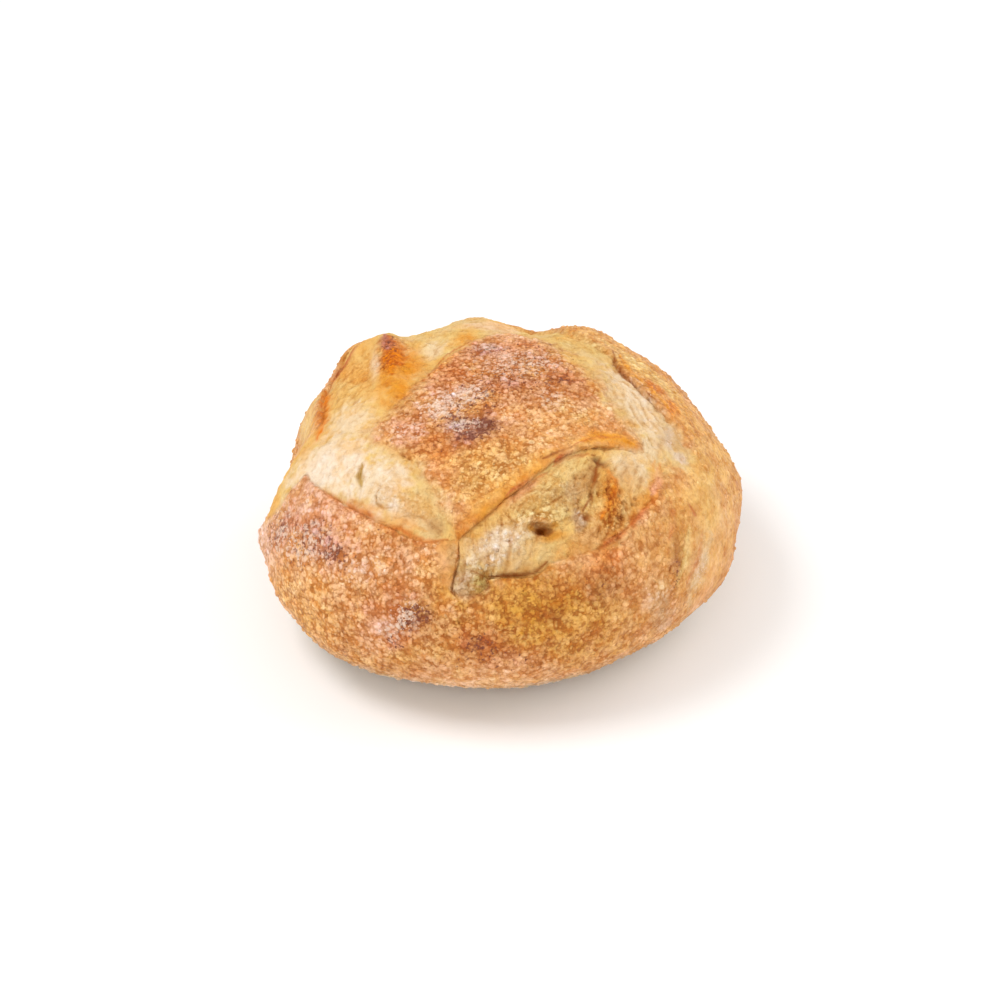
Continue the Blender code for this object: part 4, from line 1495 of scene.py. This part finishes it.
def crumb_material():
    material, tree, shader = surface("torn_crumb", 0.75)
    place = object_place(tree)
    skin = baked_skin(tree, place)
    colour = attribute(tree, "bake", "Color")
    toasted, shaded, paler = tints(tree, colour, (0.98, 0.80, 0.50), (0.76, 0.56, 0.33),
                                   (1.10, 1.18, 1.32))
    broad = speckle(tree, place, 0.009)
    lumpy = speckle(tree, place, 0.0035, 4.0, 0.6)
    fine = speckle(tree, place, 0.0013, 3.0, 0.6)
    coarse = times(tree, attribute(tree, "coarse"), 0.9)
    uneven = maths(tree, "MINIMUM", plus(tree, coarse, 0.4), 1.0)
    # Painted shade and highlights: the lumpy and fine noises also raise the relief, and the
    # colour is shaded where they are low and paler where they are high; the broad toasting is
    # the crumb's own tone.
    for mask, tint in (
        (ramp(tree, broad, 0.48, 0.62, 0.0, 0.50), toasted),
        (times(tree, ramp(tree, lumpy, 0.48, 0.34, 0.0, 0.95), uneven), shaded),
        (times(tree, ramp(tree, lumpy, 0.50, 0.64, 0.0, 0.90), uneven), paler),
        (times(tree, ramp(tree, fine, 0.48, 0.38), coarse), shaded),
        (times(tree, ramp(tree, fine, 0.52, 0.62), coarse), paler),
    ):
        colour = mix(tree, mask, colour, tint)
    skinned = maths(tree, "MAXIMUM", attribute(tree, "crust"), coarse)
    dusted = burnt_and_floured(tree, place, mix(tree, skinned, colour, skin["Colour"]), 0.0)
    feed(tree, shader.inputs["Base Color"], dusted["Colour"])
    relief(tree, shader, plus(tree, times(tree, lumpy, 2.0), times(tree, fine, 0.8),
                              times(tree, skin["Height"], skinned)))
    return material


def flour_material():
    material, tree, shader = surface("loose_flour", 0.95)
    tone = speckle(tree, object_place(tree), 0.004, 1.0)
    feed(tree, shader.inputs["Base Color"],
         mix(tree, tone, (0.84, 0.64, 0.44, 1.0), (0.80, 0.58, 0.46, 1.0)))
    return material


# ---- Stage -----------------------------------------------------------------------------
LIGHTS = (  # name, place and size
    ("key", (-0.62, 0.0, 1.05), 0.55),
    ("front", (-0.15, -1.2, 0.55), 1.2),
    ("fill", (1.1, 0.35, 0.75), 1.2),
)
AIM_LEFT = 0.0013  # the camera aims this far left of the loaf's middle
AIM_HEIGHT = 0.42  # and at this share of its height


def make_stage(stage):
    floor_mesh = bpy.data.meshes.new("floor")
    floor = bmesh.new()
    bmesh.ops.create_grid(floor, x_segments=1, y_segments=1, size=3.0)
    floor.to_mesh(floor_mesh)
    floor.free()
    material, _, shader = surface("pale_floor", 0.9)
    shader.inputs["Base Color"].default_value = (*stage.floor_colour, 1.0)
    shader.inputs["Specular IOR Level"].default_value = 0.0
    floor_mesh.materials.append(material)
    ground = add_object("floor", floor_mesh)

    world = bpy.data.worlds.new("studio")
    world.use_nodes = True
    background = world.node_tree.nodes["Background"]
    background.inputs["Color"].default_value = (1.0, 0.985, 0.965, 1.0)
    background.inputs["Strength"].default_value = stage.world_strength
    bpy.context.scene.world = world

    middle = (CAD_BOX[0] + CAD_BOX[1]) / 2
    for name, place, size in LIGHTS:
        light = bpy.data.lights.new(name, "AREA")
        light.energy = getattr(stage, name + "_power")
        light.size = size
        lamp = add_object(name, light)
        lamp.location = place
        lamp.rotation_euler = (middle - Vector(place)).to_track_quat("-Z", "Y").to_euler()

    view = bpy.data.cameras.new("camera")
    view.lens = stage.lens
    view.sensor_width = 36.0
    camera = add_object("camera", view)
    height = CAD_BOX[1].z - CAD_BOX[0].z
    aim = Vector((middle.x - AIM_LEFT, middle.y, CAD_BOX[0].z + AIM_HEIGHT * height))
    lift = stage.camera_elevation
    camera.location = aim + stage.camera_distance * Vector((0, -math.cos(lift), math.sin(lift)))
    camera.rotation_euler = (math.pi / 2 - lift, 0, 0)
    bpy.context.scene.camera = camera
    bpy.context.scene.view_settings.view_transform = "Standard"


# ---- Add-on ----------------------------------------------------------------------------
class LoafSizes(bpy.types.PropertyGroup):
    half_width: FloatProperty(name="Half width", description="Along the loaf's longer axis",
                              default=0.107, unit="LENGTH")
    half_depth: FloatProperty(name="Half depth", description="Across the loaf's longer axis",
                              default=0.0985, unit="LENGTH")
    height: FloatProperty(name="Height", description="From the base to the crown",
                          default=CAD_BOX[1].z - CAD_BOX[0].z, unit="LENGTH")
    belly_height: FloatProperty(name="Belly height", description="Height of the widest section",
                                default=0.0385, unit="LENGTH")
    base_sink: FloatProperty(name="Base sink", description="Underside that is cut flat",
                             default=0.010, unit="LENGTH")
    long_axis_turn: FloatProperty(name="Long axis", description="Bearing of the longer axis",
                                  default=math.radians(20), subtype="ANGLE")
    squareness: FloatProperty(name="Squareness", description="2 is an ellipsoid", default=2.2)
    crust_cuts: IntProperty(name="Crust cuts", description="Faces along a side of the ball",
                            default=56)


class LoafLook(bpy.types.PropertyGroup):
    blister_paleness: FloatProperty(name="Blister paleness", subtype="FACTOR", default=0.9,
                                    description="How much paler than the crust blisters are")
    flour_grains: IntProperty(name="Flour grains", description="Grains of loose flour",
                              default=3000)


class StageSettings(bpy.types.PropertyGroup):
    floor_colour: FloatVectorProperty(name="Floor", description="Colour of the floor",
                                      subtype="COLOR", default=(0.97, 0.97, 0.97))
    world_strength: FloatProperty(name="World", description="Strength of the pale sky",
                                  default=0.64)
    key_power: FloatProperty(name="Key", description="Power of the key light",
                             default=6.4, unit="POWER")
    front_power: FloatProperty(name="Front", description="Power of the light in front",
                               default=4.8, unit="POWER")
    fill_power: FloatProperty(name="Fill", description="Power of the light on the right",
                              default=7.8, unit="POWER")
    lens: FloatProperty(name="Lens", description="Focal length", default=85.0)
    camera_distance: FloatProperty(name="Distance", description="Camera to the loaf",
                                   default=1.04, unit="LENGTH")
    camera_elevation: FloatProperty(name="Elevation", description="Camera above the horizon",
                                    default=math.radians(38), subtype="ANGLE")


class BOULE_OT_crust(bpy.types.Operator):
    """Bake the loaf's crust, with its scored panel and lifted lips"""
    bl_idname = "boule.crust"
    bl_label = "Crust"

    def execute(self, context):
        piece = make_crust(context.scene.boule_sizes)
        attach(piece, "root")
        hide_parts("boule")
        return {"FINISHED"}


class BOULE_OT_crumb(bpy.types.Operator):
    """Fill the opened slashes with torn crumb"""
    bl_idname = "boule.crumb"
    bl_label = "Torn crumb"

    def execute(self, context):
        piece = make_crumb(context.scene.boule_sizes)
        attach(piece, "root")
        return {"FINISHED"}


class BOULE_OT_blisters(bpy.types.Operator):
    """Raise small and large blisters on the crust"""
    bl_idname = "boule.blisters"
    bl_label = "Blisters"

    def execute(self, context):
        for piece in make_blisters(context.scene.boule_sizes, context.scene.boule_look):
            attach(piece, "root")
        return {"FINISHED"}


class BOULE_OT_flour(bpy.types.Operator):
    """Dust the loaf with grains of flour"""
    bl_idname = "boule.flour"
    bl_label = "Flour"

    def execute(self, context):
        piece = make_flour(context.scene.boule_sizes, context.scene.boule_look)
        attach(piece, "root")
        return {"FINISHED"}


class BOULE_OT_stage(bpy.types.Operator):
    """Set the pale floor, the soft lights and the camera"""
    bl_idname = "boule.stage"
    bl_label = "Stage"

    def execute(self, context):
        make_stage(context.scene.boule_stage)
        return {"FINISHED"}


OPERATORS = (BOULE_OT_crust, BOULE_OT_crumb, BOULE_OT_blisters, BOULE_OT_flour,
             BOULE_OT_stage)


class BOULE_PT_panel(bpy.types.Panel):
    bl_label = "Sourdough Boule"
    bl_idname = "BOULE_PT_panel"
    bl_space_type = "VIEW_3D"
    bl_region_type = "UI"
    bl_category = "Boule"

    def draw(self, context):
        for operator in OPERATORS:
            self.layout.operator(operator.bl_idname)
        for settings in (context.scene.boule_sizes, context.scene.boule_look,
                         context.scene.boule_stage):
            box = self.layout.box()
            for name in settings.__annotations__:
                box.prop(settings, name)


CLASSES = (LoafSizes, LoafLook, StageSettings, *OPERATORS, BOULE_PT_panel)


def register():
    for item in CLASSES:
        bpy.utils.register_class(item)
    bpy.types.Scene.boule_sizes = PointerProperty(type=LoafSizes)
    bpy.types.Scene.boule_look = PointerProperty(type=LoafLook)
    bpy.types.Scene.boule_stage = PointerProperty(type=StageSettings)


def unregister():
    del bpy.types.Scene.boule_stage
    del bpy.types.Scene.boule_look
    del bpy.types.Scene.boule_sizes
    for item in reversed(CLASSES):
        bpy.utils.unregister_class(item)


def main():
    register()
    bpy.ops.boule.crust()
    bpy.ops.boule.crumb()
    bpy.ops.boule.blisters()
    bpy.ops.boule.flour()
    bpy.ops.boule.stage()


if __name__ == "__main__":
    main()
